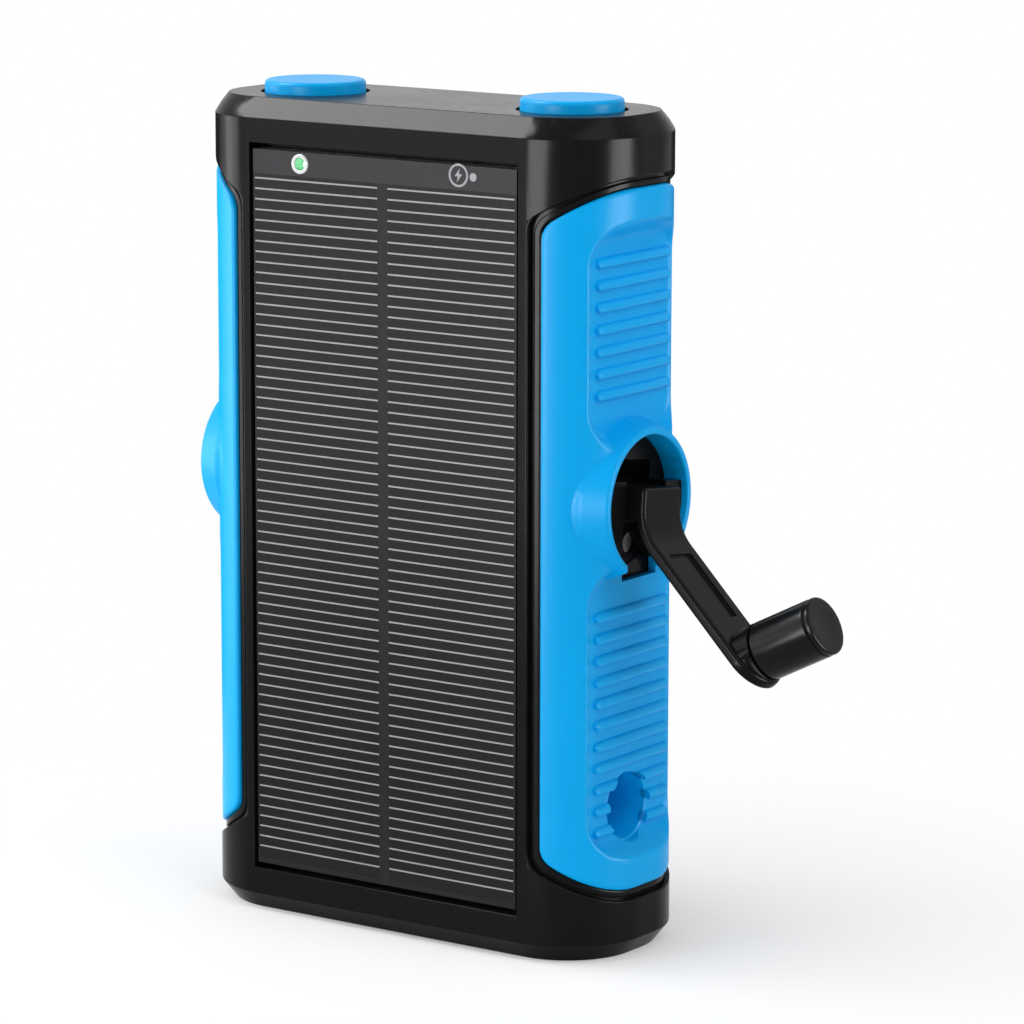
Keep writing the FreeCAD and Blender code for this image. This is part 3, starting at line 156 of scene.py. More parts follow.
class Wiring:
    """Adds nodes to a tree and joins them."""

    def __init__(self, tree):
        self.tree = tree
        self.column = 0

    def add(self, kind, inputs=None, **settings):
        node = self.tree.nodes.new(kind)
        node.location = (self.column * 180.0, 0.0)
        self.column += 1
        for key, value in settings.items():
            setattr(node, key, value)
        self.feed(node, inputs or {})
        return node

    def feed(self, node, inputs):
        """Sets sockets, or links those whose value is another node's output."""
        for key, value in inputs.items():
            if isinstance(value, bpy.types.NodeSocket):
                self.tree.links.new(value, node.inputs[key])
            else:
                node.inputs[key].default_value = value

    def first(self, kind, inputs=None, **settings):
        """Adds a node and gives its first output."""
        return self.add(kind, inputs, **settings).outputs[0]

    def math(self, operation, *values, clamp=False):
        return self.first("ShaderNodeMath", dict(enumerate(values)), operation=operation,
                          use_clamp=clamp)

    def vector(self, x=0.0, y=0.0, z=0.0):
        return self.first("ShaderNodeCombineXYZ", {0: x, 1: y, 2: z})

    def apart(self, vector):
        """The X, Y and Z outputs of a vector."""
        return self.add("ShaderNodeSeparateXYZ", {0: vector}).outputs

    def place(self):
        return self.add("ShaderNodeTexCoord").outputs["Object"]

    def normal(self):
        return self.add("ShaderNodeNewGeometry").outputs["Normal"]

    def noise(self, place, scale, detail, roughness):
        return self.first("ShaderNodeTexNoise", {"Vector": place, "Scale": scale,
                                                 "Detail": detail, "Roughness": roughness})

    def remap(self, value, low, high, to_low=0.0, to_high=1.0):
        return self.first("ShaderNodeMapRange", {"Value": value, "From Min": low, "From Max": high,
                                                 "To Min": to_low, "To Max": to_high})

    def scaled(self, colour, share):
        return self.first("ShaderNodeVectorMath", {0: colour, "Scale": share}, operation="SCALE")

    def mixed(self, share, under, over):
        """Colour between two, by the share of the second."""
        mix = self.add("ShaderNodeMix", {0: share, 6: under, 7: over}, data_type="RGBA")
        return mix.outputs[2]


def node_group(name, kind, inputs, outputs):
    """New group from (label, socket, default) inputs; gives its wiring, inputs and output."""
    tree = bpy.data.node_groups.new(name, kind)
    for label, socket_type, value in inputs:
        socket = tree.interface.new_socket(label, in_out="INPUT", socket_type=socket_type)
        if value is not None:
            socket.default_value = value
    for label, socket_type in outputs:
        tree.interface.new_socket(label, in_out="OUTPUT", socket_type=socket_type)
    wiring = Wiring(tree)
    return wiring, wiring.add("NodeGroupInput").outputs, wiring.add("NodeGroupOutput")


def shared_group(name):
    """A shared node group, made the first time it is asked for."""
    return bpy.data.node_groups.get(name) or GROUP_MAKERS[name]()


# ---- shader groups shared by the finishes -------------------------------------------------

def moulded_grain_group():
    """Uneven colour, gloss and fine height of a moulded or cast surface."""
    wiring, given, out = node_group("moulded_grain", "ShaderNodeTree", [
        ("Color", COLOR, GREY), ("Scale", FLOAT, 400.0), ("Color Variation", FLOAT, 0.1),
        ("Roughness", FLOAT, 0.4), ("Roughness Variation", FLOAT, 0.1)],
        [("Color", COLOR), ("Roughness", FLOAT), ("Height", FLOAT)])
    place = wiring.place()
    broad = wiring.noise(place, wiring.math("MULTIPLY", given["Scale"], 0.06), 4.0, 0.6)
    fine = wiring.noise(place, given["Scale"], 3.0, 0.55)
    sway = wiring.math("SUBTRACT", broad, 0.5)
    tone = wiring.math("MULTIPLY_ADD", sway, given["Color Variation"], 1.0)
    both = wiring.math("MULTIPLY_ADD", fine, 0.5, sway)
    rough = wiring.math("MULTIPLY_ADD", wiring.math("SUBTRACT", both, 0.25),
                        given["Roughness Variation"], given["Roughness"])
    wiring.feed(out, {"Color": wiring.scaled(given["Color"], tone), "Roughness": rough,
                      "Height": fine})
    return wiring.tree


def lay_over(wiring, given, out, where, patches, colour):
    """Ends a group: lays a colour over the given one, by two masks and the amount."""
    joined = wiring.math("MULTIPLY", where, patches)
    mask = wiring.math("MULTIPLY", joined, given["Amount"], clamp=True)
    wiring.feed(out, {"Color": wiring.mixed(mask, given["Color"], colour), "Mask": mask})


def edge_wear_group():
    """Mask of the worn, rubbed edges, and the colour with the wear laid over it."""
    wiring, given, out = node_group("edge_wear", "ShaderNodeTree", [
        ("Color", COLOR, GREY), ("Wear Color", COLOR, (0.8, 0.8, 0.8, 1.0)),
        ("Radius", FLOAT, 0.0006), ("Amount", FLOAT, 0.5), ("Scale", FLOAT, 300.0)],
        [("Color", COLOR), ("Mask", FLOAT)])
    bevel = wiring.first("ShaderNodeBevel", {"Radius": given["Radius"]}, samples=4)
    same = wiring.add("ShaderNodeVectorMath", {0: wiring.normal(), 1: bevel},
                      operation="DOT_PRODUCT").outputs["Value"]
    patchy = wiring.noise(wiring.place(), given["Scale"], 5.0, 0.7)
    lay_over(wiring, given, out, wiring.remap(same, 0.985, 0.86),
             wiring.remap(patchy, 0.42, 0.62), given["Wear Color"])
    return wiring.tree


def settled_dust_group():
    """Pale dust that lies on what faces up."""
    wiring, given, out = node_group("settled_dust", "ShaderNodeTree", [
        ("Color", COLOR, GREY), ("Dust Color", COLOR, (0.55, 0.53, 0.5, 1.0)),
        ("Amount", FLOAT, 0.05), ("Scale", FLOAT, 900.0)],
        [("Color", COLOR), ("Mask", FLOAT)])
    facing = wiring.apart(wiring.normal())["Z"]
    specks = wiring.noise(wiring.place(), given["Scale"], 6.0, 0.75)
    lay_over(wiring, given, out, wiring.remap(facing, 0.2, 0.95),
             wiring.remap(specks, 0.5, 0.72), given["Dust Color"])
    return wiring.tree


def brushed_metal_group():
    """Fine lines of a drawn or turned metal surface."""
    wiring, given, out = node_group("brushed_metal", "ShaderNodeTree", [
        ("Color", COLOR, (0.6, 0.6, 0.6, 1.0)), ("Scale", FLOAT, 900.0),
        ("Stretch", VECTOR, (1.0, 0.06, 1.0)), ("Roughness", FLOAT, 0.3),
        ("Roughness Variation", FLOAT, 0.2)],
        [("Color", COLOR), ("Roughness", FLOAT), ("Height", FLOAT)])
    drawn = wiring.first("ShaderNodeVectorMath", {0: wiring.place(), 1: given["Stretch"]},
                         operation="MULTIPLY")
    lines = wiring.noise(drawn, given["Scale"], 4.0, 0.6)
    sway = wiring.math("SUBTRACT", lines, 0.5)
    tone = wiring.math("MULTIPLY_ADD", sway, 0.35, 1.0)
    rough = wiring.math("MULTIPLY_ADD", sway, given["Roughness Variation"], given["Roughness"])
    wiring.feed(out, {"Color": wiring.scaled(given["Color"], tone), "Roughness": rough,
                      "Height": lines})
    return wiring.tree


# ---- finishes -----------------------------------------------------------------------------

def blank_finish(name):
    """New material, its wiring and its shader, already joined to the output."""
    finish = bpy.data.materials.new(name)
    finish.use_nodes = True
    finish.node_tree.nodes.clear()
    wiring = Wiring(finish.node_tree)
    shader = wiring.add("ShaderNodeBsdfPrincipled")
    wiring.add("ShaderNodeOutputMaterial", {"Surface": shader.outputs[0]})
    return finish, wiring, shader


def place_group(wiring, name, inputs):
    return wiring.add("ShaderNodeGroup", inputs, node_tree=shared_group(name)).outputs


def opaque(rgb):
    return (rgb[0], rgb[1], rgb[2], 1.0)


def grained(wiring, shader, tone, roughness, scale, variation=0.1, uneven=0.1):
    """Gives a shader the moulded grain's colour and roughness; returns the grain's outputs."""
    grain = place_group(wiring, "moulded_grain", {
        "Color": tone, "Scale": scale, "Color Variation": variation, "Roughness": roughness,
        "Roughness Variation": uneven})
    wiring.feed(shader, {"Base Color": grain["Color"], "Roughness": grain["Roughness"]})
    return grain


def raise_height(wiring, shader, height, depth, strength):
    bump = wiring.first("ShaderNodeBump", {"Height": height, "Distance": depth * MM,
                                           "Strength": strength})
    wiring.feed(shader, {"Normal": bump})


def plastic_finish(name, rgb, roughness, grain=500.0, depth=0.03, variation=0.12, rub=0.0,
                   rub_rgb=(0.3, 0.3, 0.3), dust=0.0, coat=0.0, bend=1.45):
    """Moulded plastic with uneven gloss, fine grain, rubbed edges and a little dust."""
    finish, wiring, shader = blank_finish(name)
    surface = grained(wiring, shader, opaque(rgb), roughness, grain, variation, 0.14)
    tone = surface["Color"]
    if rub > 0:
        tone = place_group(wiring, "edge_wear", {
            "Color": tone, "Wear Color": opaque(rub_rgb), "Amount": rub})["Color"]
    if dust > 0:
        tone = place_group(wiring, "settled_dust", {"Color": tone, "Amount": dust})["Color"]
    wiring.feed(shader, {"Base Color": tone, "IOR": bend, "Coat Weight": coat,
                         "Coat Roughness": 0.12})
    raise_height(wiring, shader, surface["Height"], depth, 0.5)
    return finish


def metal_finish(name, rgb, roughness):
    """Drawn or turned metal with fine lines."""
    finish, wiring, shader = blank_finish(name)
    lines = place_group(wiring, "brushed_metal", {"Color": opaque(rgb), "Roughness": roughness})
    wiring.feed(shader, {"Base Color": lines["Color"], "Roughness": lines["Roughness"],
                         "Metallic": 1.0})
    raise_height(wiring, shader, lines["Height"], 0.01, 0.3)
    return finish


def window_finish(name, gap_rgb):
    """Dark glossy face that shows the cells, the gap between them and the header as tones."""
    finish, wiring, shader = blank_finish(name)
    tints = bpy.context.scene.generator_colours
    axes = wiring.apart(wiring.place())

    def between(axis, low, high):
        return wiring.math("COMPARE", axes[axis], (low + high) / 2, (high - low) / 2)

    columns = []
    for node in ("solar_cell_left", "solar_cell_right"):
        low, high = (corner * MM for corner in box_mm(node))
        columns.append(between("X", low.x, high.x))
    over_cells = wiring.math("MULTIPLY", wiring.math("ADD", *columns),
                             between("Z", low.z, high.z))
    over_header = wiring.math("GREATER_THAN", axes["Z"], high.z)
    tone = wiring.mixed(over_header, opaque(gap_rgb), opaque(tints.window_header))
    tone = wiring.mixed(over_cells, tone, opaque(tints.window_cells))
    grained(wiring, shader, tone, 0.28, 160.0, uneven=0.06)
    wiring.feed(shader, {"IOR": 1.2})
    return finish


def lamp_finish(name, rgb, glow):
    """Glossy plastic that glows a little."""
    finish, wiring, shader = blank_finish(name)
    surface = grained(wiring, shader, opaque(rgb), 0.18, 900.0)
    wiring.feed(shader, {"Emission Color": surface["Color"], "Emission Strength": glow,
                         "Coat Weight": 0.5})
    return finish


def silicon_finish(name, rgb):
    """Crystalline cell with faint grains."""
    finish, wiring, shader = blank_finish(name)
    grains = wiring.add("ShaderNodeTexVoronoi", {"Vector": wiring.place(), "Scale": 260.0})
    spread = wiring.remap(grains.outputs["Distance"], 0.0, 1.0, 0.85, 1.25)
    wiring.feed(shader, {"Base Color": wiring.scaled(rgb[:3], spread), "Roughness": 0.35})
    return finish


# maker, colour and settings of each slot's finish; a colour is a property's name or plain rgb
FINISHES = {
    "case_black": (plastic_finish, "case_black", dict(
        roughness=0.23, grain=420.0, depth=0.005, variation=0.2, rub=0.35,
        rub_rgb=(0.02, 0.02, 0.02), dust=0.02, bend=1.15)),
    "grip_blue": (plastic_finish, "grip_blue", dict(
        roughness=0.33, grain=700.0, variation=0.08, dust=0.01, bend=1.16)),
    "crank_black": (plastic_finish, "crank_black", dict(
        roughness=0.26, grain=600.0, depth=0.02, variation=0.2, rub=0.5,
        rub_rgb=(0.03, 0.03, 0.03), bend=1.13)),
    "knob_black": (plastic_finish, "knob_black", dict(
        roughness=0.22, grain=600.0, depth=0.02, variation=0.2, rub=0.4,
        rub_rgb=(0.03, 0.03, 0.03), bend=1.18)),
    "panel_clear": (window_finish, "window_gap", {}),
    "solar_silicon": (silicon_finish, "silicon", {}),
    "panel_laminate": (plastic_finish, "laminate", dict(roughness=0.6, grain=300.0, depth=0.006)),
    "foam_tape": (plastic_finish, (0.7, 0.69, 0.64), dict(roughness=0.8, grain=900.0, depth=0.08)),
    "seal_rubber": (plastic_finish, (0.02, 0.02, 0.02), dict(roughness=0.6, grain=800.0)),
    "steel": (metal_finish, "steel", dict(roughness=0.3)),
    "gear_nylon": (plastic_finish, (0.78, 0.76, 0.68), dict(roughness=0.42)),
    "bush_brass": (metal_finish, (0.72, 0.5, 0.2), dict(roughness=0.3)),
    "copper": (metal_finish, (0.8, 0.38, 0.22), dict(roughness=0.32)),
    "ferrite": (plastic_finish, (0.035, 0.034, 0.033), dict(
        roughness=0.55, grain=1500.0, depth=0.06)),
    "inner_plastic": (plastic_finish, (0.025, 0.025, 0.027), dict(roughness=0.5)),
    "plunger_plastic": (plastic_finish, (0.6, 0.58, 0.52), dict(roughness=0.45, grain=700.0)),
    "board_green": (plastic_finish, (0.012, 0.11, 0.045), dict(
        roughness=0.35, grain=900.0, coat=0.3)),
    "capacitor_can": (plastic_finish, (0.02, 0.03, 0.09), dict(
        roughness=0.35, grain=700.0, coat=0.3)),
    "cell_wrap": (plastic_finish, (0.05, 0.17, 0.42), dict(roughness=0.28, grain=300.0, coat=0.4)),
    "nickel": (metal_finish, (0.66, 0.64, 0.6), dict(roughness=0.25)),
    "lamp_ring": (lamp_finish, "lamp_white", dict(glow=0.02)),
    "lamp_green": (lamp_finish, "lamp_green", dict(glow=0.15)),
    "finger_silver": (plastic_finish, "finger_silver", dict(roughness=0.4, grain=900.0)),
    "contact_gold": (metal_finish, (0.83, 0.6, 0.24), dict(roughness=0.22)),
}


def finish_for(slot):
    """The finish of a material slot, made the first time it is asked for."""
    name = slot + "_finish"
    ready = bpy.data.materials.get(name)
    if ready:
        return ready
    maker, rgb, settings = FINISHES[slot]
    if isinstance(rgb, str):
        rgb = getattr(bpy.context.scene.generator_colours, rgb)
    return maker(name, rgb, **settings)


# ---- mesh helpers -------------------------------------------------------------------------

def scene_object(name, data):
    """Object in the scene, from a mesh, curve, lamp or camera."""
    obj = bpy.data.objects.new(name, data)
    bpy.context.scene.collection.objects.link(obj)
    return obj


def mesh_object(name, points, faces):
    """Object from points in millimetres."""
    mesh = bpy.data.meshes.new(name)
    mesh.from_pydata([(x * MM, y * MM, z * MM) for x, y, z in points], [], faces)
    return scene_object(name, mesh)


def face_outwards(obj):
    work = bmesh.new()
    work.from_mesh(obj.data)
    bmesh.ops.remove_doubles(work, verts=work.verts, dist=0.001 * MM)
    bmesh.ops.recalc_face_normals(work, faces=work.faces)
    work.to_mesh(obj.data)
    work.free()
    return obj


def evaluated_mesh(obj):
    """New mesh of an object as its modifiers or its curve make it."""
    graph = bpy.context.evaluated_depsgraph_get()
    graph.update()
    return bpy.data.meshes.new_from_object(obj.evaluated_get(graph))


def settle(obj):
    """Turns an object's modifiers into its plain mesh."""
    mesh = evaluated_mesh(obj)
    obj.modifiers.clear()
    old = obj.data
    obj.data = mesh
    bpy.data.meshes.remove(old)
    return obj


def shade(obj, angle=35.0):
    obj.data.shade_smooth()
    obj.data.set_sharp_from_angle(angle=math.radians(angle))
    return obj


def combine(obj, other, operation="DIFFERENCE"):
    """Cuts another closed mesh from an object, or joins it on, and removes the other."""
    step = obj.modifiers.new("combine", "BOOLEAN")
    step.operation = operation
    step.solver = "MANIFOLD"
    step.object = other
    settle(obj)
    mesh = other.data
    bpy.data.objects.remove(other)
    bpy.data.meshes.remove(mesh)
    if not obj.data.polygons:
        raise RuntimeError(obj.name + " lost its faces in a cut")
    return obj


def eased_line(corners, steps=5):
    """Points of a run through (along, radius, easing) corners, each rounded by its easing."""
    points = []
    for index, (along, radius, easing) in enumerate(corners):
        here = Vector((along, radius))
        if easing <= 0 or index in (0, len(corners) - 1):
            points.append(here)
            continue
        back = (Vector(corners[index - 1][:2]) - here).normalized() * easing
        ahead = (Vector(corners[index + 1][:2]) - here).normalized() * easing
        for step in range(steps + 1):
            share = step / steps
            points.append(here + back * (1 - share) ** 2 + ahead * share ** 2)
    return [(point.x, point.y) for point in points]


def lathe(name, profile, centre, axis, steps=96, ring=False):
    """Turned piece: profile of (along, radius) in millimetres about an axis through centre."""
    axis = Vector(axis).normalized()
    side = axis.orthogonal().normalized()
    up = axis.cross(side)
    points, rows = [], []
    for along, radius in profile:
        base = Vector(centre) + axis * along
        if radius < 1e-6:
            rows.append([len(points)] * steps)
            points.append(base)
            continue
        rows.append(range(len(points), len(points) + steps))
        for step in range(steps):
            turn = 2 * math.pi * step / steps
            points.append(base + (side * math.cos(turn) + up * math.sin(turn)) * radius)
    faces = []
    pairs = list(zip(rows, rows[1:]))
    if ring:
        pairs.append((rows[-1], rows[0]))
    for low, high in pairs:
        for step in range(steps):
            after = (step + 1) % steps
            corners = [low[step], low[after], high[after], high[step]]
            faces.append(list(dict.fromkeys(corners)))
    return face_outwards(mesh_object(name, points, [face for face in faces if len(face) > 2]))


def block(name, low, high):
    xs, ys, zs = zip(low, high)
    points = [(x, y, z) for x in xs for y in ys for z in zs]
    faces = [(0, 1, 3, 2), (4, 6, 7, 5), (0, 4, 5, 1), (2, 3, 7, 6), (0, 2, 6, 4), (1, 5, 7, 3)]
    return face_outwards(mesh_object(name, points, faces))


def eased_copy(node, name, width, angle=30.0, segments=3, chosen=None, clamp=True, moved=None):
    """Copy of a CAD node with rounded edges.

    chosen gives an edge's share of the rounding from its ends, and moved shifts points.
    """
    mesh = frame["nodes"][node].data.copy()
    work = bmesh.new()
    work.from_mesh(mesh)
    bmesh.ops.remove_doubles(work, verts=work.verts, dist=1e-6)
    if moved:
        for vert in work.verts:
            vert.co = moved(vert.co / MM) * MM
    bmesh.ops.dissolve_limit(work, angle_limit=math.radians(FLAT_ANGLE), verts=work.verts,
                             edges=work.edges)
    weights = work.edges.layers.float.new("bevel_weight_edge")
    for edge in work.edges:
        if len(edge.link_faces) != 2 or edge.calc_face_angle() < math.radians(angle):
            continue
        edge[weights] = 1.0 if chosen is None else float(
            chosen(*(vert.co / MM for vert in edge.verts)))
    work.to_mesh(mesh)
    work.free()
    mesh.materials.clear()
    obj = scene_object(name, mesh)
    bevel = obj.modifiers.new("easing", "BEVEL")
    bevel.limit_method = "WEIGHT"
    bevel.width = width
    bevel.segments = segments
    bevel.use_clamp_overlap = clamp
    bevel.miter_outer = "MITER_ARC"
    settle(obj)
    return smooth_finish(obj)


def smooth_finish(obj):
    """Smooth shading that keeps flat faces flat and sharp edges sharp."""
    shade(obj, 40.0)
    weighted = obj.modifiers.new("weighted", "WEIGHTED_NORMAL")
    weighted.keep_sharp = True
    return settle(obj)


def dress(obj, slot, body, *nodes, finish=None):
    """Gives a finished piece its material and its body, and hides the CAD nodes that it stands for."""
    obj.data.materials.clear()
    obj.data.materials.append(finish_for(finish or slot))
    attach(obj, body)
    if nodes:
        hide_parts(*nodes)
    return obj


# ---- geometry node groups -----------------------------------------------------------------

def scatter_group(name, inputs):
    """Geometry group with sizes and a material as inputs, to be run over places."""
    return node_group(name, "GeometryNodeTree",
                      [("Places", GEOMETRY, None)] + inputs + [("Material", MATERIAL, None)],
                      [("Geometry", GEOMETRY)])


def repeat_at_points(wiring, given, out, shape, turn=(0.0, 0.0, 0.0)):
    """Places a shape at every point, makes it real and gives it its material."""
    placed = wiring.first("GeometryNodeInstanceOnPoints", {
        "Points": given["Places"], "Instance": shape, "Rotation": turn})
    real = wiring.first("GeometryNodeRealizeInstances", {"Geometry": placed})
    wiring.feed(out, {"Geometry": wiring.first("GeometryNodeSetMaterial", {
        "Geometry": real, "Material": given["Material"]})})


def grow(name, group, places, values):
    """Runs a shared group over places in millimetres and returns the plain mesh object."""
    obj = mesh_object(name, places, [])
    step = obj.modifiers.new("grow", "NODES")
    step.node_group = shared_group(group)
    for socket in step.node_group.interface.items_tree:
        if socket.in_out == "INPUT" and socket.name in values:
            step[socket.identifier] = values[socket.name]
    settle(obj)
    if not obj.data.polygons:
        raise RuntimeError(name + " grew no faces")
    return obj


def rib_group():
    """Grip ribs: long rounded bars, flat-topped, standing out along X."""
    wiring, given, out = scatter_group("grip_ribs", [
        ("Half Length", FLOAT, 0.01), ("Half Width", FLOAT, 0.001), ("Height", FLOAT, 0.001),
        ("Lean", FLOAT, 0.0), ("Squareness", FLOAT, 0.6)])
    ball = wiring.first("GeometryNodeMeshUVSphere", {"Segments": 24, "Rings": 14, "Radius": 1.0})
    ball_place = wiring.apart(wiring.first("GeometryNodeInputPosition"))
    spare = wiring.math("SUBTRACT", given["Half Length"], given["Half Width"])
    shift = wiring.math("MULTIPLY", wiring.math("SIGN", ball_place["Z"]), spare)
    run = wiring.math("ADD", wiring.math("MULTIPLY", ball_place["Z"], given["Half Width"]), shift)
    wide = wiring.math("MULTIPLY", ball_place["Y"], given["Half Width"])
    size = wiring.math("POWER", wiring.math("ABSOLUTE", ball_place["X"]), given["Squareness"])
    signed = wiring.math("MULTIPLY", size, wiring.math("SIGN", ball_place["X"]))
    rise = wiring.math("MULTIPLY", signed, given["Height"])
    across = wiring.math("SUBTRACT", wide, wiring.math("MULTIPLY", signed, given["Lean"]))
    rib = wiring.first("GeometryNodeSetPosition", {
        "Geometry": ball, "Position": wiring.vector(rise, run, across)})
    repeat_at_points(wiring, given, out, rib)
    return wiring.tree


def bar_group():
    """Small straight bars: printed finger lines and spring contacts."""
    wiring, given, out = scatter_group("printed_bars", [("Size", VECTOR, (0.01, 0.001, 0.001))])
    bar = wiring.first("GeometryNodeMeshCube", {"Size": given["Size"], "Vertices X": 4,
                                                "Vertices Y": 2, "Vertices Z": 2})
    repeat_at_points(wiring, given, out, bar)
    return wiring.tree


def raised(wiring, shape, height):
    return wiring.first("GeometryNodeTransform", {"Geometry": shape,
                                                  "Translation": wiring.vector(z=height)})


def screw_group():
    """Pan head screws with a cross recess; the heads look along +Z before their turn."""
    wiring, given, out = scatter_group("pan_screws", [
        ("Head Radius", FLOAT, 0.002), ("Head Height", FLOAT, 0.001),
        ("Shank Radius", FLOAT, 0.001), ("Shank Length", FLOAT, 0.005),
        ("Recess Width", FLOAT, 0.0006), ("Recess Depth", FLOAT, 0.0007),
        ("Turn", "NodeSocketRotation", None)])
    radius, height, width = given["Head Radius"], given["Head Height"], given["Recess Width"]
    skirt = wiring.math("MULTIPLY", height, 0.55)
    low = wiring.first("GeometryNodeMeshCylinder", {"Vertices": 40, "Radius": radius,
                                                    "Depth": skirt})
    high = wiring.first("GeometryNodeMeshCone", {
        "Vertices": 40, "Side Segments": 5, "Radius Bottom": radius,
        "Radius Top": wiring.math("MULTIPLY", radius, 0.72),
        "Depth": wiring.math("SUBTRACT", height, skirt)})
    shank = wiring.first("GeometryNodeMeshCylinder", {
        "Vertices": 24, "Radius": given["Shank Radius"], "Depth": given["Shank Length"]})
    reach = wiring.math("MULTIPLY", radius, 1.15)
    tall = wiring.math("MULTIPLY", given["Recess Depth"], 2.0)
    wings = [wiring.first("GeometryNodeMeshCube", {"Size": wiring.vector(*size)})
             for size in ((reach, width, tall), (width, reach, tall))]
    head = wiring.add("GeometryNodeMeshBoolean", operation="UNION", solver="EXACT")
    for piece, rise in ((low, wiring.math("MULTIPLY", skirt, 0.5)), (high, skirt),
                        (shank, wiring.math("MULTIPLY", given["Shank Length"], -0.5))):
        wiring.feed(head, {"Mesh 2": raised(wiring, piece, rise)})
    cut = wiring.add("GeometryNodeMeshBoolean", {"Mesh 1": head.outputs[0]},
                     operation="DIFFERENCE", solver="EXACT")
    for wing in wings:
        wiring.feed(cut, {"Mesh 2": raised(wiring, wing, height)})
    repeat_at_points(wiring, given, out, cut.outputs[0], given["Turn"])
    return wiring.tree


GROUP_MAKERS = {"moulded_grain": moulded_grain_group, "edge_wear": edge_wear_group,
                "settled_dust": settled_dust_group, "brushed_metal": brushed_metal_group,
                "grip_ribs": rib_group, "printed_bars": bar_group, "pan_screws": screw_group}


# ---- the case and its back ----------------------------------------------------------------

CASE_CORNER = 16.8
CASE_TOP_HALF = 17.1
SKIN_DEPTH = 1.05  # how far inside the case's outline an outer edge may lie
LONGEST_RISE = 20.0  # of an edge that is rounded; longer upright ones stay as they are
BUTTON_FIELD_X, BUTTON_FIELD_Y = 42.0, 11.0  # half size of the top's middle, which isn't drawn in
TOUCH = 0.01  # how near two heights count as the same
CHANNEL_LOW, CHANNEL_HIGH = 8.8, 151.0
CHANNEL_FLOOR, CHANNEL_SKIN = 0.72, -0.13  # depths under the grip's skin
CHANNEL_BED = 2.3  # depth of the underside of the ring that forms the channel
CHANNEL_FOOT = 0.15  # extra depth of the floor beside the grip
CHANNEL_RIM = 0.6  # how far the ring reaches past the channel's edge
SLOT_WALL = 0.96  # share of the way from the grip to the channel's edge
SLOT_OVERLAP = 0.4  # how far the slot's cutter stands over the channel's floor
QUARTER_TURN = np.radians([0, 22.5, 45, 67.5, 90])
SCREW_HEAD, SCREW_HEAD_HEIGHT = 2.3, 1.2
SCREW_SHANK, SCREW_LENGTH = 1.25, 6.6
SCREW_SLOT = 0.26  # width of the cross as a share of the head's radius


def rounded_distance(u, v, half_u, half_v, corner):
    """Distance outside a rounded rectangle, below nought inside it."""
    over_u = np.abs(u) - half_u + corner
    over_v = np.abs(v) - half_v + corner
    outside = np.hypot(np.maximum(over_u, 0), np.maximum(over_v, 0))
    return outside + np.minimum(np.maximum(over_u, over_v), 0) - corner


def case_inset(x, y):
    """How far a point lies inside the case's outline."""
    return -rounded_distance(x, y, CASE_HIGH.x, CASE_HIGH.y, CASE_CORNER)


def on_case_skin(start, end):
    """Whether an edge is on the case's outer skin, clear of the channels and the recess."""
    for place in (start, end):
        if CHANNEL_LOW < place.z < CHANNEL_HIGH:
            return False
        between_ends = CASE_LOW.z + TOUCH < place.z < CASE_HIGH.z - TOUCH
        if between_ends and case_inset(place.x, place.y) > SKIN_DEPTH:
            return False
    return abs(start.z - end.z) < LONGEST_RISE


def build_case(sizes):
    half = CASE_HIGH.y - case_inset(0.0, CASE_TOP_HALF)
    keep = 1 - sizes.shoulder_draw / MM / half

    def draw_shoulders(place):
        """Draws the top in, apart from its middle with the buttons."""
        central = abs(place.y) < BUTTON_FIELD_Y and abs(place.x) < BUTTON_FIELD_X
        if place.z < CASE_HIGH.z - TOUCH or central:
            return place
        return Vector((place.x, place.y * keep, place.z))

    shell = eased_copy("main_case", "case_shell", sizes.case_easing, chosen=on_case_skin,
                       clamp=False, moved=draw_shoulders)
    lip = sizes.channel_lip / MM
    easing = sizes.channel_corner / MM
    borders = [border_loop(SEAT_GAP, SEAT_GAP, SEAT_GAP, SEAT_GAP, sizes.grip_corner / MM),
               border_loop(CHANNEL_X - lip, CHANNEL_Y, CHANNEL_Z - lip, 0.0, easing),
               border_loop(CHANNEL_X, CHANNEL_Y, CHANNEL_Z, 0.0, easing),
               border_loop(CHANNEL_X + CHANNEL_RIM, CHANNEL_Y, CHANNEL_Z + CHANNEL_RIM, 0.0, 0.4)]
    profile = [(0, 0.0, CHANNEL_BED), (0, 0.0, CHANNEL_FLOOR + CHANNEL_FOOT)]
    profile += [(0, across, CHANNEL_FLOOR) for across in (0.06, 0.2, 0.35, 0.5, 0.65, 0.8, 0.94)]
    profile += [(1, 1 - math.cos(turn), CHANNEL_SKIN + lip * (1 - math.sin(turn)))
                for turn in QUARTER_TURN]
    profile += [(2, 1.0, CHANNEL_SKIN), (2, 1.0, CHANNEL_BED)]
    start = SLOT_WALL - sizes.channel_slot / MM / (CHANNEL_Z - lip)
    above, below = CHANNEL_FLOOR - SLOT_OVERLAP, CHANNEL_FLOOR + sizes.slot_depth / MM
    slot = [(0, start, above), (0, SLOT_WALL, above), (0, SLOT_WALL, below), (0, start, below)]
    for side in (1, -1):
        combine(shell, ring_on_skin("channel", borders, profile, side), "UNION")
        combine(shell, ring_on_skin("slot", borders, slot, side))
    smooth_finish(shell)
    dress(shell, "case_black", "case", "main_case")


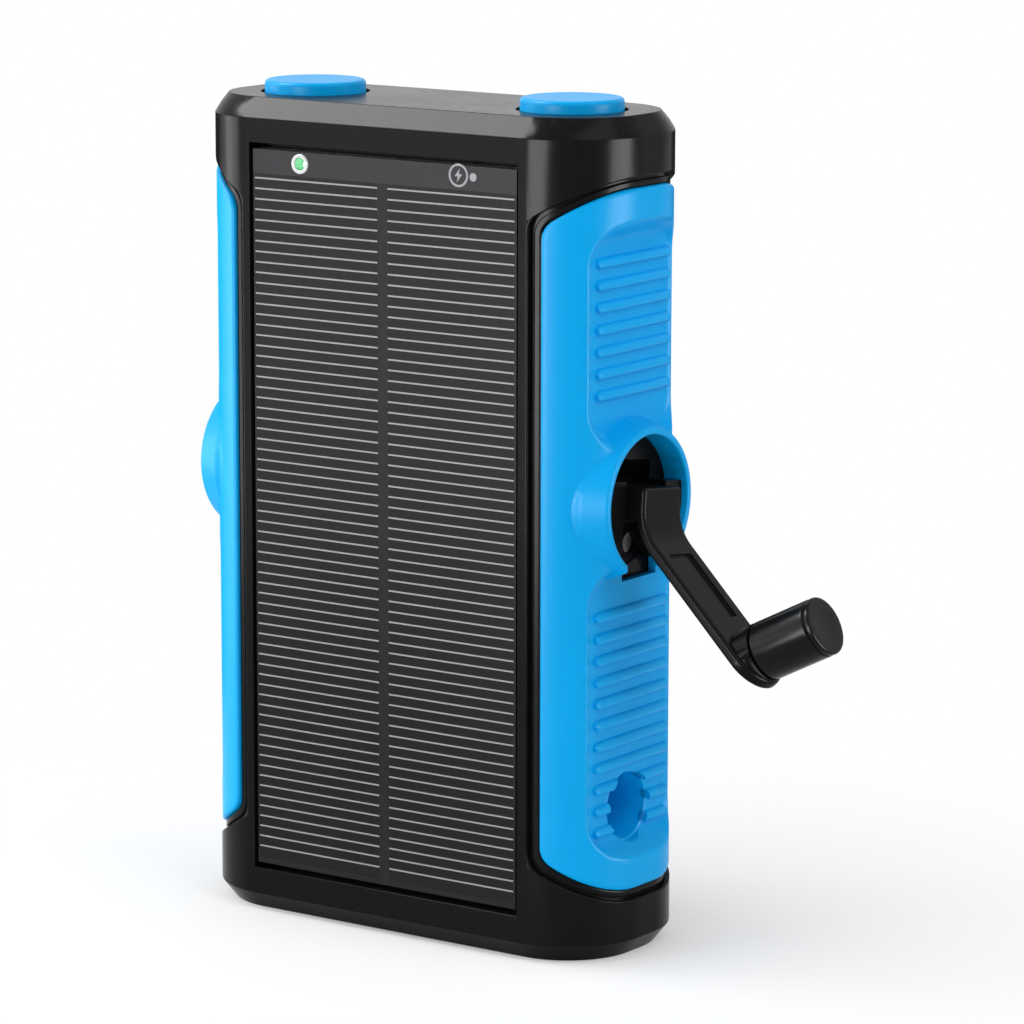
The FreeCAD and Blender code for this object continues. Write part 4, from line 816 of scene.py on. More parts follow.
def build_back(sizes):
    cover = eased_copy("back_cover", "rear_cover", sizes.cover_easing, chosen=on_case_skin)
    dress(cover, "case_black", "case", "back_cover")
    low, high = box_mm("back_cover_screws")
    under = CASE_HIGH.y - SCREW_HEAD_HEIGHT
    places = [(x, under, z) for x in (low.x + SCREW_HEAD, high.x - SCREW_HEAD)
              for z in screw_heights()]
    heads = grow("cover_screws", "pan_screws", places, {
        "Head Radius": SCREW_HEAD * MM, "Head Height": SCREW_HEAD_HEIGHT * MM,
        "Shank Radius": SCREW_SHANK * MM, "Shank Length": SCREW_LENGTH * MM,
        "Recess Width": SCREW_SLOT * SCREW_HEAD * MM, "Recess Depth": sizes.screw_recess,
        "Turn": tuple(Vector((0, 1, 0)).to_track_quat("Z", "Y").to_euler()),
        "Material": finish_for("steel")})
    dress(shade(heads, 30.0), "steel", "case", "back_cover_screws")


def screw_heights():
    """Middle heights of the cover's screws, from the heights of their vertices."""
    screw_mesh = frame["nodes"]["back_cover_screws"].data
    levels = sorted({round(vert.co.z / MM, 1) for vert in screw_mesh.vertices})
    groups = [[levels[0]]]
    for level in levels[1:]:
        if level - groups[-1][-1] > SCREW_HEAD:
            groups.append([])
        groups[-1].append(level)
    return [(group[0] + group[-1]) / 2 for group in groups]


SOCKET_WALL, SOCKET_BACK = 0.4, 2.0
TONGUE_BACK, TONGUE_FRONT = 1.0, 1.5  # from the shell's back and front
CONTACT_THICK = 0.12
SHELL_EASING, TONGUE_EASING = 0.15, 0.12


def rounded_off(obj, width, segments, **settings):
    """Rounds an object's edges by a width in millimetres."""
    ease = obj.modifiers.new("easing", "BEVEL")
    ease.width = width * MM
    ease.segments = segments
    for key, value in settings.items():
        setattr(ease, key, value)
    return settle(obj)


def socket_pieces(node, name, tongue_half, tongue_thick, contacts, drop):
    """Rolled steel shell, plastic tongue and contacts of a charging socket."""
    low, high = box_mm(node)
    middle = (low + high) / 2
    shell = block(name + "_shell", low, high)
    room = block("room", (low.x + SOCKET_WALL, low.y + SOCKET_BACK, low.z + SOCKET_WALL),
                 (high.x - SOCKET_WALL, high.y + 1.0, high.z - SOCKET_WALL))
    combine(shell, room)
    rounded_off(shell, SHELL_EASING, 3, limit_method="ANGLE")
    dress(shade(shell, 40.0), "steel", "case", node)
    foot = middle.z + drop - tongue_thick / 2
    tongue = block(name + "_tongue", (middle.x - tongue_half, low.y + TONGUE_BACK, foot),
                   (middle.x + tongue_half, high.y - TONGUE_FRONT,
                    middle.z + drop + tongue_thick / 2))
    rounded_off(tongue, TONGUE_EASING, 2)
    dress(shade(tongue, 40.0), "inner_plastic", "case", node)
    pitch = 1.5 * tongue_half / contacts
    places = [(middle.x + (index - (contacts - 1) / 2) * pitch, (low.y + high.y) / 2 + 2.0, foot)
              for index in range(contacts)]
    pins = grow(name + "_contacts", "printed_bars", places, {
        "Size": (0.55 * pitch * MM, (high.y - low.y - 8.0) * MM, CONTACT_THICK * MM),
        "Material": finish_for("contact_gold")})
    dress(pins, "nickel", "case", finish="contact_gold")


def build_sockets():
    socket_pieces("usb_a_socket", "wide_socket", 5.5, 1.9, 4, 0.9)
    socket_pieces("usb_c_socket", "slim_socket", 3.35, 0.7, 8, 0.0)


# ---- rubber grips -------------------------------------------------------------------------

GRIP_CORNER = 16.65
GRIP_FLAT = CASE_HIGH.y - CASE_CORNER
GRIP_CENTRE = CASE_HIGH.x - CASE_CORNER
GRIP_EDGE_X = 35.9
GRIP_HALF_Y, GRIP_CORNER_Y, GRIP_CORNER_Z = 18.84, 14.4, 8.5
SEAT_GAP = 0.15
CHANNEL_X, CHANNEL_Y, CHANNEL_Z = 2.8, 0.49, 2.4
POCKET_FLOOR = 43.25
POCKET_SLOPE = 1.56
GRIP_BACK = 41.65
WELL_RADIUS = 12.95
BOSS_RADIUS = 14.4
BOSS_FOOT_RADIUS, BOSS_FOOT_X = 16.0, 43.25
STOW_Z = 28.1
STOW_RADIUS = 6.35
STOW_END = 26.05
UPPER_POCKET = (100.5, 137.5)
LOWER_POCKET = (22.5, 73.5)
POCKET_HALF, POCKET_CORNER = 13.6, 5.0
WELL_EASING = 0.4
BOSS_FALL = 6.0  # how far the boss's outline drops, under the skin, past its foot
BOSS_REACH = 17.6  # radius of the field of points that follow the boss
BOSS_RINGS = [12.6, 12.95, 13.05, 13.2, 13.35, 13.6, 13.8, 13.92, 14.04, 14.14, 14.24, 14.32,
              14.4, 14.52, 14.7, 14.95, 15.2, 15.5, 15.75, 15.9, 15.97, 16.03, 16.08, 16.13,
              16.18, 16.26, 16.4, 16.7, 17.0, 17.3, BOSS_REACH]
CLOSED_RINGS = [2.0, 4.0, 6.0, 8.0, 10.0, 12.0]  # of the boss without a well
FINE_ROW, COARSE_ROW = 0.42, 1.0
POCKET_BAND, BOSS_BAND = 4.2, 19.5  # fine rows lie this near a pocket's end or the boss's middle
RUN_STEPS = ((10.5, 1.0), (18.5, 0.32), (24.5, 0.55))  # up to each run, the grid's step
BACK_ROW, BACK_RUN, BACK_DEPTH = 2.5, 1.5, 2.0  # of the grid and depth of the grip's back
ARC_POINTS, TAIL_POINTS, BEND_POINTS, UPRIGHT_POINTS = 721, 34, 11, 53  # of a border's quarter
ROUND_STEPS, INNER_STEPS = 224, 56  # points of a ring at the boss's rim and inside it
CUTTER_REACH = 30.0
STOW_MOUTH = 0.4
RIB_PITCH, RIB_INSET = 4.15, 4.35
UPPER_RIBS, LOWER_RIBS = 7, 11
CUP_RADIUS, CUP_LENGTH, CUP_FLOOR = 7.85, 18.2, 1.5
NOTCH_HALF, NOTCH_DROP = 7.5, 18.5
NOTCH_FLOOR_SIDES, NOTCH_FLOOR_DROP = (-2.0, 9.5), 15.3


def skin_point(run):
    """Grip skin at a distance round from the middle of the side: x, y, outward x and y."""
    bend = np.maximum(np.abs(run) - GRIP_FLAT, 0) / GRIP_CORNER
    side = np.sign(run)
    x = GRIP_CENTRE + GRIP_CORNER * np.cos(bend)
    y = np.where(np.abs(run) <= GRIP_FLAT, run, side * (GRIP_FLAT + GRIP_CORNER * np.sin(bend)))
    return x, y, np.cos(bend), side * np.sin(bend)


def skin_run(y):
    """Distance round from the middle of the side to the skin point with this y."""
    bend = np.arcsin(np.clip((np.abs(y) - GRIP_FLAT) / GRIP_CORNER, 0, 1))
    return np.where(np.abs(y) <= GRIP_FLAT, y, np.sign(y) * (GRIP_FLAT + GRIP_CORNER * bend))


def soft_least(a, b, width):
    blend = np.maximum(width - np.abs(a - b), 0) / width
    return np.minimum(a, b) - blend * blend * width / 4


def soft_most(a, b, width):
    return -soft_least(-a, -b, width)


def grip_surface(run, z, sizes, open_well):
    """Outer x of the grip with its pockets and boss."""
    x, y, _, _ = skin_point(run)
    for low, high in (UPPER_POCKET, LOWER_POCKET):
        away = rounded_distance(y, z - (low + high) / 2, POCKET_HALF, (high - low) / 2,
                                POCKET_CORNER)
        foot = sizes.pocket_foot / MM
        wall = POCKET_FLOOR + POCKET_SLOPE * foot * np.logaddexp(0, away / foot)
        x = soft_least(x, wall, sizes.pocket_lip / MM)
    radius = np.hypot(y, z - CRANK_Z)
    rim = sizes.boss_rim / MM
    turns = np.radians(np.linspace(0, 72, 9))
    profile_r = list(BOSS_RADIUS - rim + rim * np.sin(turns))
    profile_x = list(CASE_HIGH.x - rim * (1 - np.cos(turns)))
    profile_r += [BOSS_FOOT_RADIUS, BOSS_FOOT_RADIUS + 0.2]
    profile_x += [BOSS_FOOT_X, BOSS_FOOT_X - BOSS_FALL]
    if open_well:
        inner = np.radians(np.linspace(90, 0, 7))
        profile_r = list(WELL_RADIUS + WELL_EASING * (1 - np.sin(inner))) + profile_r
        profile_x = list(CASE_HIGH.x - WELL_EASING * (1 - np.cos(inner))) + profile_x
    boss = np.interp(radius, profile_r, profile_x)
    boss = np.where(radius > profile_r[-1], 0.0, boss)
    return np.minimum(soft_most(x, boss, sizes.boss_foot / MM), CASE_HIGH.x)


def border_loop(grow_x, grow_y, grow_z, grow_corner, easing):
    """Border round a grip, grown from the grip's own, as (run, z) points, anticlockwise."""
    middle = (GRIP_LOW.z + GRIP_HIGH.z) / 2
    half = (GRIP_HIGH.z - GRIP_LOW.z) / 2 + grow_z
    edge = GRIP_FLAT + GRIP_CORNER * math.acos((GRIP_EDGE_X - grow_x - GRIP_CENTRE) / GRIP_CORNER)
    corner_z = GRIP_CORNER_Z + grow_corner
    turns = np.linspace(0, math.pi / 2, ARC_POINTS)
    arc_y = GRIP_HALF_Y - GRIP_CORNER_Y + (GRIP_CORNER_Y + grow_y) * np.cos(turns)
    arc = np.stack([skin_run(arc_y), half - corner_z + corner_z * np.sin(turns)], 1)
    arc = np.vstack([arc[arc[:, 0] < edge], [[0.0, half]]])
    lengths = np.r_[0, np.cumsum(np.hypot(*np.diff(arc, axis=0).T))]
    along = np.linspace(easing, lengths[-1], TAIL_POINTS)
    tail = np.stack([np.interp(along, lengths, arc[:, axis]) for axis in (0, 1)], 1)
    corner = np.array([edge, arc[0, 1]])
    start = corner - (0.0, easing)
    shares = np.linspace(0, 1, BEND_POINTS)[:-1, None]
    bend = start * (1 - shares) ** 2 + corner * 2 * shares * (1 - shares) + tail[0] * shares ** 2
    upright = [(edge, z) for z in np.linspace(0, start[1], UPRIGHT_POINTS)[:-1]]
    quarter = np.vstack([upright, bend, tail])
    inner = quarter[1:-1]
    flip = np.array([-1.0, 1.0])
    loop = np.vstack([quarter[:-1], quarter[-1:], inner[::-1] * flip, quarter[:1] * flip,
                      inner * -1.0, quarter[-1:] * -flip * (-1.0, 1.0), inner[::-1] * -flip])
    return loop + np.array([0.0, middle])


def grip_outline(sizes):
    """Border of the grip as (run, z) points, anticlockwise, and the outward direction."""
    loop = border_loop(0.0, 0.0, 0.0, 0.0, sizes.grip_corner / MM)
    ahead = np.roll(loop, -1, 0) - np.roll(loop, 1, 0)
    out = np.stack([ahead[:, 1], -ahead[:, 0]], 1)
    out /= np.linalg.norm(out, axis=1)[:, None]
    return loop, out


def ring_on_skin(name, borders, profile, side):
    """Closed ring round a grip; profile gives (border, share to the next, depth) corners."""
    points, rows = [], []
    for index, share, depth in profile:
        low, high = borders[index], borders[min(index + 1, len(borders) - 1)]
        flat = low * (1 - share) + high * share
        x, y, out_x, out_y = skin_point(flat[:, 0])
        rows.append(range(len(points), len(points) + len(flat)))
        points += [tuple(point) for point in
                   np.stack([(x - out_x * depth) * side, y - out_y * depth, flat[:, 1]], 1)]
    faces = []
    for low, high in zip(rows, rows[1:] + rows[:1]):
        for step in range(len(low)):
            after = (step + 1) % len(low)
            faces.append([low[step], low[after], high[after], high[step]])
    return face_outwards(mesh_object(name, points, faces))


def depth_inside(points, loop):
    """Least distance of points inside a convex loop to its border, below nought outside."""
    ahead = np.roll(loop, -1, 0) - loop
    inward = np.stack([-ahead[:, 1], ahead[:, 0]], 1)
    inward /= np.linalg.norm(inward, axis=1)[:, None]
    least = np.full(len(points), 1e9)
    for start, normal in zip(loop, inward):
        least = np.minimum(least, (points - start) @ normal)
    return least


def triangulate(border, inner):
    """Triangles over a border loop and inner points; border points keep their order."""
    count = len(border)
    given = [Vector(point) for point in np.vstack([border, inner])]
    rim = list(range(count))
    verts, _, faces, sources, _, _ = geometry.delaunay_2d_cdt(given, [], [rim], 1, 1e-7)
    places = np.array([tuple(vert) for vert in verts])
    order = {}
    for index, source in enumerate(sources):
        for original in source:
            order[original] = index
    if any(original not in order for original in rim):
        raise RuntimeError("the grip's border lost a point")
    return places, faces, [order[original] for original in rim]


def surface_rows():
    """Heights and runs of the grip's grid, finer where the shape turns."""
    heights = []
    z = GRIP_LOW.z + 0.9
    while z < GRIP_HIGH.z - 0.5:
        heights.append(z)
        near_end = any(abs(z - level) < POCKET_BAND for level in UPPER_POCKET + LOWER_POCKET)
        near_boss = abs(z - CRANK_Z) < BOSS_BAND
        z += FINE_ROW if near_end or near_boss else COARSE_ROW
    runs = [0.0]
    for limit, step in RUN_STEPS:
        while runs[-1] < limit:
            runs.append(runs[-1] + step)
    return np.array(heights), np.array([-run for run in reversed(runs[1:])] + runs)


def grip_solid(name, sizes, open_well):
    """Closed rubber grip for the right side, before its holes."""
    loop, out = grip_outline(sizes)
    easing = sizes.grip_easing / MM
    border = loop - out * easing
    heights, runs = surface_rows()
    grid = np.array([(run, z) for z in heights for run in runs])
    grid = grid[depth_inside(grid, border) > 0.3]
    _, y, _, _ = skin_point(grid[:, 0])
    grid = grid[np.hypot(y, grid[:, 1] - CRANK_Z) > BOSS_REACH + 0.2]
    polar = []
    for radius in BOSS_RINGS if open_well else CLOSED_RINGS + BOSS_RINGS:
        count = INNER_STEPS if radius in CLOSED_RINGS else ROUND_STEPS
        for turn in np.linspace(0, 2 * math.pi, count, endpoint=False):
            across = radius * math.cos(turn)
            polar.append((float(skin_run(np.array(across))), CRANK_Z + radius * math.sin(turn)))
    places, faces, rim = triangulate(border, np.vstack([grid, np.array(polar)]))
    x, y, _, _ = skin_point(places[:, 0])
    top = grip_surface(places[:, 0], places[:, 1], sizes, open_well)
    points = [tuple(point) for point in np.stack([top, y, places[:, 1]], 1)]
    faces = [list(face) for face in faces]

    last = rim
    steps = [(easing * math.sin(a), easing * (1 - math.cos(a)))
             for a in QUARTER_TURN[1:]]
    steps.append((easing, sizes.grip_wall / MM))
    for beyond, depth in steps:
        flat = border + out * beyond
        x, y, out_x, out_y = skin_point(flat[:, 0])
        ring = list(range(len(points), len(points) + len(flat)))
        points += [tuple(point) for point in
                   np.stack([x - out_x * depth, y - out_y * depth, flat[:, 1]], 1)]
        for index in range(len(ring)):
            after = (index + 1) % len(ring)
            faces.append([last[index], ring[index], ring[after], last[after]])
        last = ring
    coarse = np.array([(run, z) for z in np.arange(GRIP_LOW.z + 2, GRIP_HIGH.z - 1, BACK_ROW)
                       for run in np.arange(-15 * BACK_RUN, 15.5 * BACK_RUN, BACK_RUN)])
    coarse = coarse[depth_inside(coarse, loop) > 0.9]
    back_places, back_faces, back_rim = triangulate(loop, coarse)
    x, y, out_x, out_y = skin_point(back_places[:, 0])
    x = np.minimum(x - out_x * BACK_DEPTH, GRIP_BACK)
    numbers = {}
    for index, source in zip(back_rim, last):
        numbers[index] = source
    for index in range(len(back_places)):
        if index not in numbers:
            numbers[index] = len(points)
            points.append((x[index], y[index] - out_y[index] * BACK_DEPTH, back_places[index][1]))
    faces += [[numbers[index] for index in reversed(face)] for face in back_faces]
    return face_outwards(mesh_object(name, points, faces))


def well_cutter():
    profile = [(0, 0), (0, WELL_RADIUS), (CUTTER_REACH, WELL_RADIUS), (CUTTER_REACH, 0)]
    return lathe("well", profile, (30.0, 0.0, CRANK_Z), (1, 0, 0), ROUND_STEPS)


def stow_cutter():
    """The hole that takes the knob, with a softened mouth."""
    length = POCKET_FLOOR - STOW_END
    profile = [(0, 0), (0, STOW_RADIUS), (length - 0.45, STOW_RADIUS),
               (length - 0.15, STOW_RADIUS + 0.1), (length, STOW_RADIUS + STOW_MOUTH),
               (CUTTER_REACH, STOW_RADIUS + STOW_MOUTH), (CUTTER_REACH, 0)]
    return lathe("stow_hole", profile, (STOW_END, 0.0, STOW_Z), (1, 0, 0), 96)


def rib_places():
    """Heights of the ribs: down from the top of one pocket, up from the foot of the other."""
    top = UPPER_POCKET[1] - RIB_INSET
    bottom = LOWER_POCKET[0] + RIB_INSET - RIB_PITCH / 2
    return ([top - RIB_PITCH * index for index in range(UPPER_RIBS)]
            + [bottom + RIB_PITCH * index for index in range(LOWER_RIBS)])


def build_grip(sizes, side):
    name = "right" if side > 0 else "left"
    grip = grip_solid("side_grip_" + name, sizes, side > 0)
    if side > 0:
        cup = lathe("cup", eased_line([(0, 0, 0), (0, CUP_RADIUS, 0.6),
                                       (CUP_LENGTH, CUP_RADIUS, 0), (CUP_LENGTH, 0, 0)]),
                    (STOW_END - CUP_FLOOR, 0.0, STOW_Z), (1, 0, 0), 96)
        combine(grip, cup, "UNION")
        combine(grip, well_cutter())
        combine(grip, block("notch", (POCKET_FLOOR, -NOTCH_HALF, CRANK_Z - NOTCH_DROP),
                            (CASE_HIGH.x + 2, NOTCH_HALF, CRANK_Z - WELL_RADIUS / 2)))
        near, far = NOTCH_FLOOR_SIDES
        combine(grip, block("notch_floor", (GRIP_BACK - 1, near, CRANK_Z - NOTCH_FLOOR_DROP),
                            (POCKET_FLOOR + 1, far, CRANK_Z - 5)))
        combine(grip, stow_cutter())
    ribs = grow("grip_ribs_" + name, "grip_ribs", [(POCKET_FLOOR, 1.0, z) for z in rib_places()], {
        "Half Length": sizes.rib_half_length, "Half Width": sizes.rib_half_width,
        "Height": sizes.rib_height, "Lean": sizes.rib_lean, "Squareness": 0.62,
        "Material": finish_for("grip_blue")})
    face_outwards(ribs)
    if side > 0:
        combine(ribs, stow_cutter())
    for piece in (grip, ribs):
        if side < 0:
            piece.data.transform(Matrix.Diagonal((-1, 1, 1, 1)))
            face_outwards(piece)
        shade(piece, 38.0)
        dress(piece, "grip_blue", "case", "grip_" + name)


# ---- solar panel --------------------------------------------------------------------------

FINGER_TOP, FINGER_COUNT = 144.8, 66
FINGER_THICK = 0.06
MARK_X, MARK_Z = 17.6, 148.45
MARK_RADIUS, MARK_INNER = 2.2, 1.78
DOT_X, DOT_Z, DOT_RADIUS = 20.95, 148.3, 0.78
BOLT = [(0.35, 1.35), (-0.85, -0.2), (-0.12, -0.2), (-0.38, -1.35), (0.85, 0.25), (0.1, 0.25)]
LENS_RADIUS, BEZEL_RADIUS = 1.2, 1.95


def flat_piece(name, outline, holes=(), proud=0.03):
    """Thin printed shape on the panel's face, from (x, z) outlines."""
    curve = bpy.data.curves.new(name, "CURVE")
    curve.dimensions = "2D"
    curve.fill_mode = "BOTH"
    curve.extrude = proud * MM / 2
    for line in [outline] + list(holes):
        spline = curve.splines.new("POLY")
        spline.points.add(len(line) - 1)
        spline.use_cyclic_u = True
        for point, (x, z) in zip(spline.points, line):
            point.co = (x * MM, z * MM, 0.0, 1.0)
    holder = scene_object(name + "_curve", curve)
    mesh = evaluated_mesh(holder)
    bpy.data.objects.remove(holder)
    mesh.transform(Matrix.Translation((0, (WINDOW_LOW.y - proud / 2) * MM, 0))
                   @ Matrix.Rotation(math.pi / 2, 4, "X"))
    return face_outwards(scene_object(name, mesh))


def circle(x, z, radius, count=64):
    return [(x + radius * math.cos(2 * math.pi * step / count),
             z + radius * math.sin(2 * math.pi * step / count)) for step in range(count)]


def drawn_copy(node, name, gap):
    """Eased copy of a flat CAD node with its upper and lower edges drawn in by the gap."""
    low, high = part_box(node)
    sheet = eased_copy(node, name, 0.15 * MM, segments=2)
    for vert in sheet.data.vertices:
        if vert.co.z < low.z + MM / 2:
            vert.co.z += gap
        elif vert.co.z > high.z - MM / 2:
            vert.co.z -= gap
    return sheet


def build_panel(sizes):
    for node, name in (("panel_window", "panel_face"), ("panel_board", "panel_back"),
                       ("panel_tape", "panel_pad")):
        sheet = drawn_copy(node, name, sizes.panel_gap)
        dress(sheet, SLOTS[node], "case", node)
    heights = [FINGER_TOP - index * sizes.finger_pitch / MM for index in range(FINGER_COUNT)]
    for name in ("left", "right"):
        low, high = box_mm("solar_cell_" + name)
        places = [((low.x + high.x) / 2, WINDOW_LOW.y + 0.01, z) for z in heights]
        fingers = grow("finger_lines_" + name, "printed_bars", places, {
            "Size": ((high.x - low.x) * MM, FINGER_THICK * MM, sizes.finger_width),
            "Material": finish_for("finger_silver")})
        dress(fingers, "nickel", "case", finish="finger_silver")


def build_marks():
    """Charging pictogram and dot printed on the panel's header."""
    pieces = [flat_piece("mark_ring", circle(MARK_X, MARK_Z, MARK_RADIUS),
                         [circle(MARK_X, MARK_Z, MARK_INNER)]),
              flat_piece("mark_bolt", [(MARK_X + u, MARK_Z + v) for u, v in BOLT]),
              flat_piece("mark_dot", circle(DOT_X, DOT_Z, DOT_RADIUS, 40))]
    for piece in pieces:
        dress(piece, "nickel", "case", finish="finger_silver")


def build_lamp():
    """Ring and domed lens of the status lamp."""
    low, high = box_mm("status_led_ring")
    centre = ((low.x + high.x) / 2, high.y, (low.z + high.z) / 2)
    deep = high.y - low.y
    corners = [(0, LENS_RADIUS, 0), (0, BEZEL_RADIUS, 0), (deep, BEZEL_RADIUS, 0.22),
               (deep, LENS_RADIUS, 0.18), (0, LENS_RADIUS, 0)]
    ring = lathe("lamp_bezel", eased_line(corners)[:-1], centre, (0, -1, 0), 64, ring=True)
    dress(shade(ring), "lamp_ring", "case", "status_led_ring")
    dome = [(deep - 0.28 + 0.2 * math.cos(turn), LENS_RADIUS * math.sin(turn))
            for turn in (math.radians(angle) for angle in (90, 70, 50, 30, 15))]
    lens = lathe("lamp_lens", [(0, 0), (0, LENS_RADIUS)] + dome + [(deep - 0.08, 0)], centre,
                 (0, -1, 0), 64)
    dress(shade(lens), "lamp_green", "case", "status_led_lens")


# ---- push buttons -------------------------------------------------------------------------

BUTTON_RADIUS, BUTTON_STEM = 9.8, 1.8
BUTTON_FLANGE = (2.8, 4.2)  # lower and upper height over the stem's foot
DISH_RADIUS = 6.5


def build_button(sizes, side):
    name = "right" if side > 0 else "left"
    low, high = box_mm("button_" + name)
    middle = (low.x + high.x) / 2
    tall = high.z - low.z
    flange_radius = (high.x - low.x) / 2
    flange_low, flange_high = BUTTON_FLANGE
    corners = [(0, 0, 0), (0, BUTTON_STEM, 0.2), (flange_low, BUTTON_STEM, 0),
               (flange_low, flange_radius, 0), (flange_high, flange_radius, 0.2),
               (flange_high, BUTTON_RADIUS + 0.06, 0),
               (tall, BUTTON_RADIUS, sizes.button_easing / MM), (tall, DISH_RADIUS, 0.8),
               (tall - sizes.button_dish / MM, 0, 0)]
    button = lathe("push_button_" + name, eased_line(corners, 8), (middle, 0.0, low.z),
                   (0, 0, 1), 144)
    dress(shade(button, 40.0), "grip_blue", name + "_button", "button_" + name)


# ---- crank --------------------------------------------------------------------------------

def build_hub(sizes):
    hub = eased_copy("crank_hub", "crank_hub_eased", sizes.hub_easing)
    dress(hub, "crank_black", "hub", "crank_hub")


SEAT_RADIUS, TONGUE_RADIUS = 6.0, 7.5  # of the arm's edges round the knob
SIDE_BAND = 0.8  # how near to the arm's sides an edge counts as its outline
KNOB_RADIUS, KNOB_BORE = 5.65, 1.65
CAP_SEAT_RADIUS, CAP_SEAT_DEPTH = 3.3, 2.6  # of the knob's end that takes the cap
CAP_PLUG_RADIUS, CAP_PLUG_LENGTH = 3.25, 1.0


def build_arm(sizes):
    joint = JOINTS["arm_fold"]
    origin, across = Vector(joint["pos_m"]) / MM, Vector(joint["axis"]).normalized()
    seat = Vector(JOINTS["knob_spin"]["pos_m"]) / MM
    knob_axis = Vector(JOINTS["knob_spin"]["axis"]).normalized()
    reach = max((vert.co / MM - origin).dot(across)
                for vert in frame["nodes"]["crank_arm"].data.vertices)

    def side_share(start, end):
        """Full rounding along the outline, little on the channel and none at the knob's seat."""
        spread = max((place - seat).cross(knob_axis).length for place in (start, end))
        if spread < SEAT_RADIUS:
            return 0.0
        aside = min(abs((place - origin).dot(across)) for place in (start, end))
        return 1.0 if spread < TONGUE_RADIUS or aside > reach - SIDE_BAND else 0.3

    arm = eased_copy("crank_arm", "crank_arm_eased", sizes.arm_easing, angle=32.0, segments=4,
                     chosen=side_share, clamp=False)
    dress(arm, "crank_black", "arm", "crank_arm")


def along_axis(node, joint):
    """Lowest and highest distance of a node's points along a joint's axis, in millimetres."""
    origin = Vector(joint["pos_m"])
    axis = Vector(joint["axis"]).normalized()
    runs = [(vert.co - origin).dot(axis) / MM for vert in frame["nodes"][node].data.vertices]
    return min(runs), max(runs)


def build_knob(sizes):
    joint = JOINTS["knob_spin"]
    origin = Vector(joint["pos_m"]) / MM
    axis = Vector(joint["axis"])
    foot, top = along_axis("knob", joint)
    _, end = along_axis("knob_cap", joint)
    top = max(top, end - sizes.knob_rim / MM)
    seam = sizes.knob_seam / MM
    r = KNOB_RADIUS
    corners = [(foot, KNOB_BORE, 0.1), (foot, r - 0.4, 0.1), (foot + 0.4, r, 0.2),
               (top - 0.3, r, 0.3), (top, r - seam - 0.1, 0.08), (top, CAP_SEAT_RADIUS, 0.05),
               (top - CAP_SEAT_DEPTH, CAP_SEAT_RADIUS, 0.05),
               (top - CAP_SEAT_DEPTH, KNOB_BORE, 0.05)]
    profile = eased_line([corners[-1]] + corners + [corners[0]])[1:-1]
    body = lathe("turning_knob", profile, origin, axis, 96, ring=True)
    dress(shade(body, 40.0), "knob_black", "hand_knob", "knob")
    cap_corners = [(top - CAP_PLUG_LENGTH, 0, 0), (top - CAP_PLUG_LENGTH, CAP_PLUG_RADIUS, 0.1),
                   (top, CAP_PLUG_RADIUS, 0), (top, r - seam - 0.12, 0.05),
                   (top + 0.25, r - 0.04, 0.1), (end, r - 0.05, 0.55), (end - 0.1, 3.0, 0.5),
                   (end - 0.22, 0, 0)]
    cap = lathe("turning_knob_cap", eased_line(cap_corners, 7), origin, axis, 96)
    dress(shade(cap, 40.0), "knob_black", "hand_knob", "knob_cap")


# ---- stage --------------------------------------------------------------------------------

TARGET_MM = (0.0, 0.0, 80.0)
CAMERA_TURN, CAMERA_PITCH, CAMERA_ROLL = 35.011, 10.599, 0.107
CAMERA_DISTANCE, CAMERA_FOCUS = 926.728, 4790.652
CAMERA_SHIFT = (13.575, 0.108)
IMAGE_WIDTH, SENSOR_WIDTH = 1024.0, 36.0  # pixels, in which the focus is given, and millimetres
AMBIENT = 0.5
FADE_END = 0.16
FLOOR_RADII, FLOOR_STEPS = (300.0, 1200.0, 9000.0), 48
CARD_START, CARD_END, CARD_REACH, CARD_HEIGHT = 165.0, 266.0, 200.0, 150.0
# name, heading, rise, distance, width, height, brightness, seen in gloss, lights matt surfaces
LAMPS = [
    ("key_lamp", -42.0, 30.0, 0.75, 0.6, 0.6, 2.5, True, True),
    ("left_lamp", -76.0, 25.0, 0.7, 0.3, 0.8, 3.8, False, True),
    ("side_lamp", 80.0, 45.0, 0.7, 0.5, 0.5, 2.2, True, True),
    ("high_strip", -63.0, 51.0, 0.7, 0.36, 0.3, 26.0, True, False),
    ("front_sheet", -36.0, 0.0, 0.4, 0.14, 0.2, 2.2, True, False),
    ("left_strip", -70.0, 0.0, 0.4, 0.18, 0.2, 8.0, True, False),
    ("front_strip", -3.0, 0.0, 0.4, 0.2, 0.2, 25.0, True, False),
    ("right_strip", 101.0, 0.0, 0.4, 0.2, 0.2, 22.0, True, False),
]


def make_camera():
    turn, pitch, roll = (math.radians(a) for a in (CAMERA_TURN, CAMERA_PITCH, CAMERA_ROLL))
    forward = Vector((-math.sin(turn) * math.cos(pitch), math.cos(turn) * math.cos(pitch),
                      -math.sin(pitch)))
    right = Vector((math.cos(turn), math.sin(turn), 0.0))
    up = right.cross(forward)
    right, up = (right * math.cos(roll) + up * math.sin(roll),
                 up * math.cos(roll) - right * math.sin(roll))
    level = Vector((math.cos(turn), math.sin(turn), 0.0))
    target = Vector(TARGET_MM) + level * CAMERA_SHIFT[0] + level.cross(forward) * CAMERA_SHIFT[1]
    place = (target - forward * CAMERA_DISTANCE) * MM
    lens = bpy.data.cameras.new("camera")
    lens.sensor_width = SENSOR_WIDTH
    lens.lens = CAMERA_FOCUS * SENSOR_WIDTH / IMAGE_WIDTH
    lens.clip_end = 50.0
    camera = scene_object("camera", lens)
    turned = Matrix((right, up, -forward)).transposed().to_4x4()
    camera.matrix_world = Matrix.Translation(place) @ turned
    bpy.context.scene.camera = camera


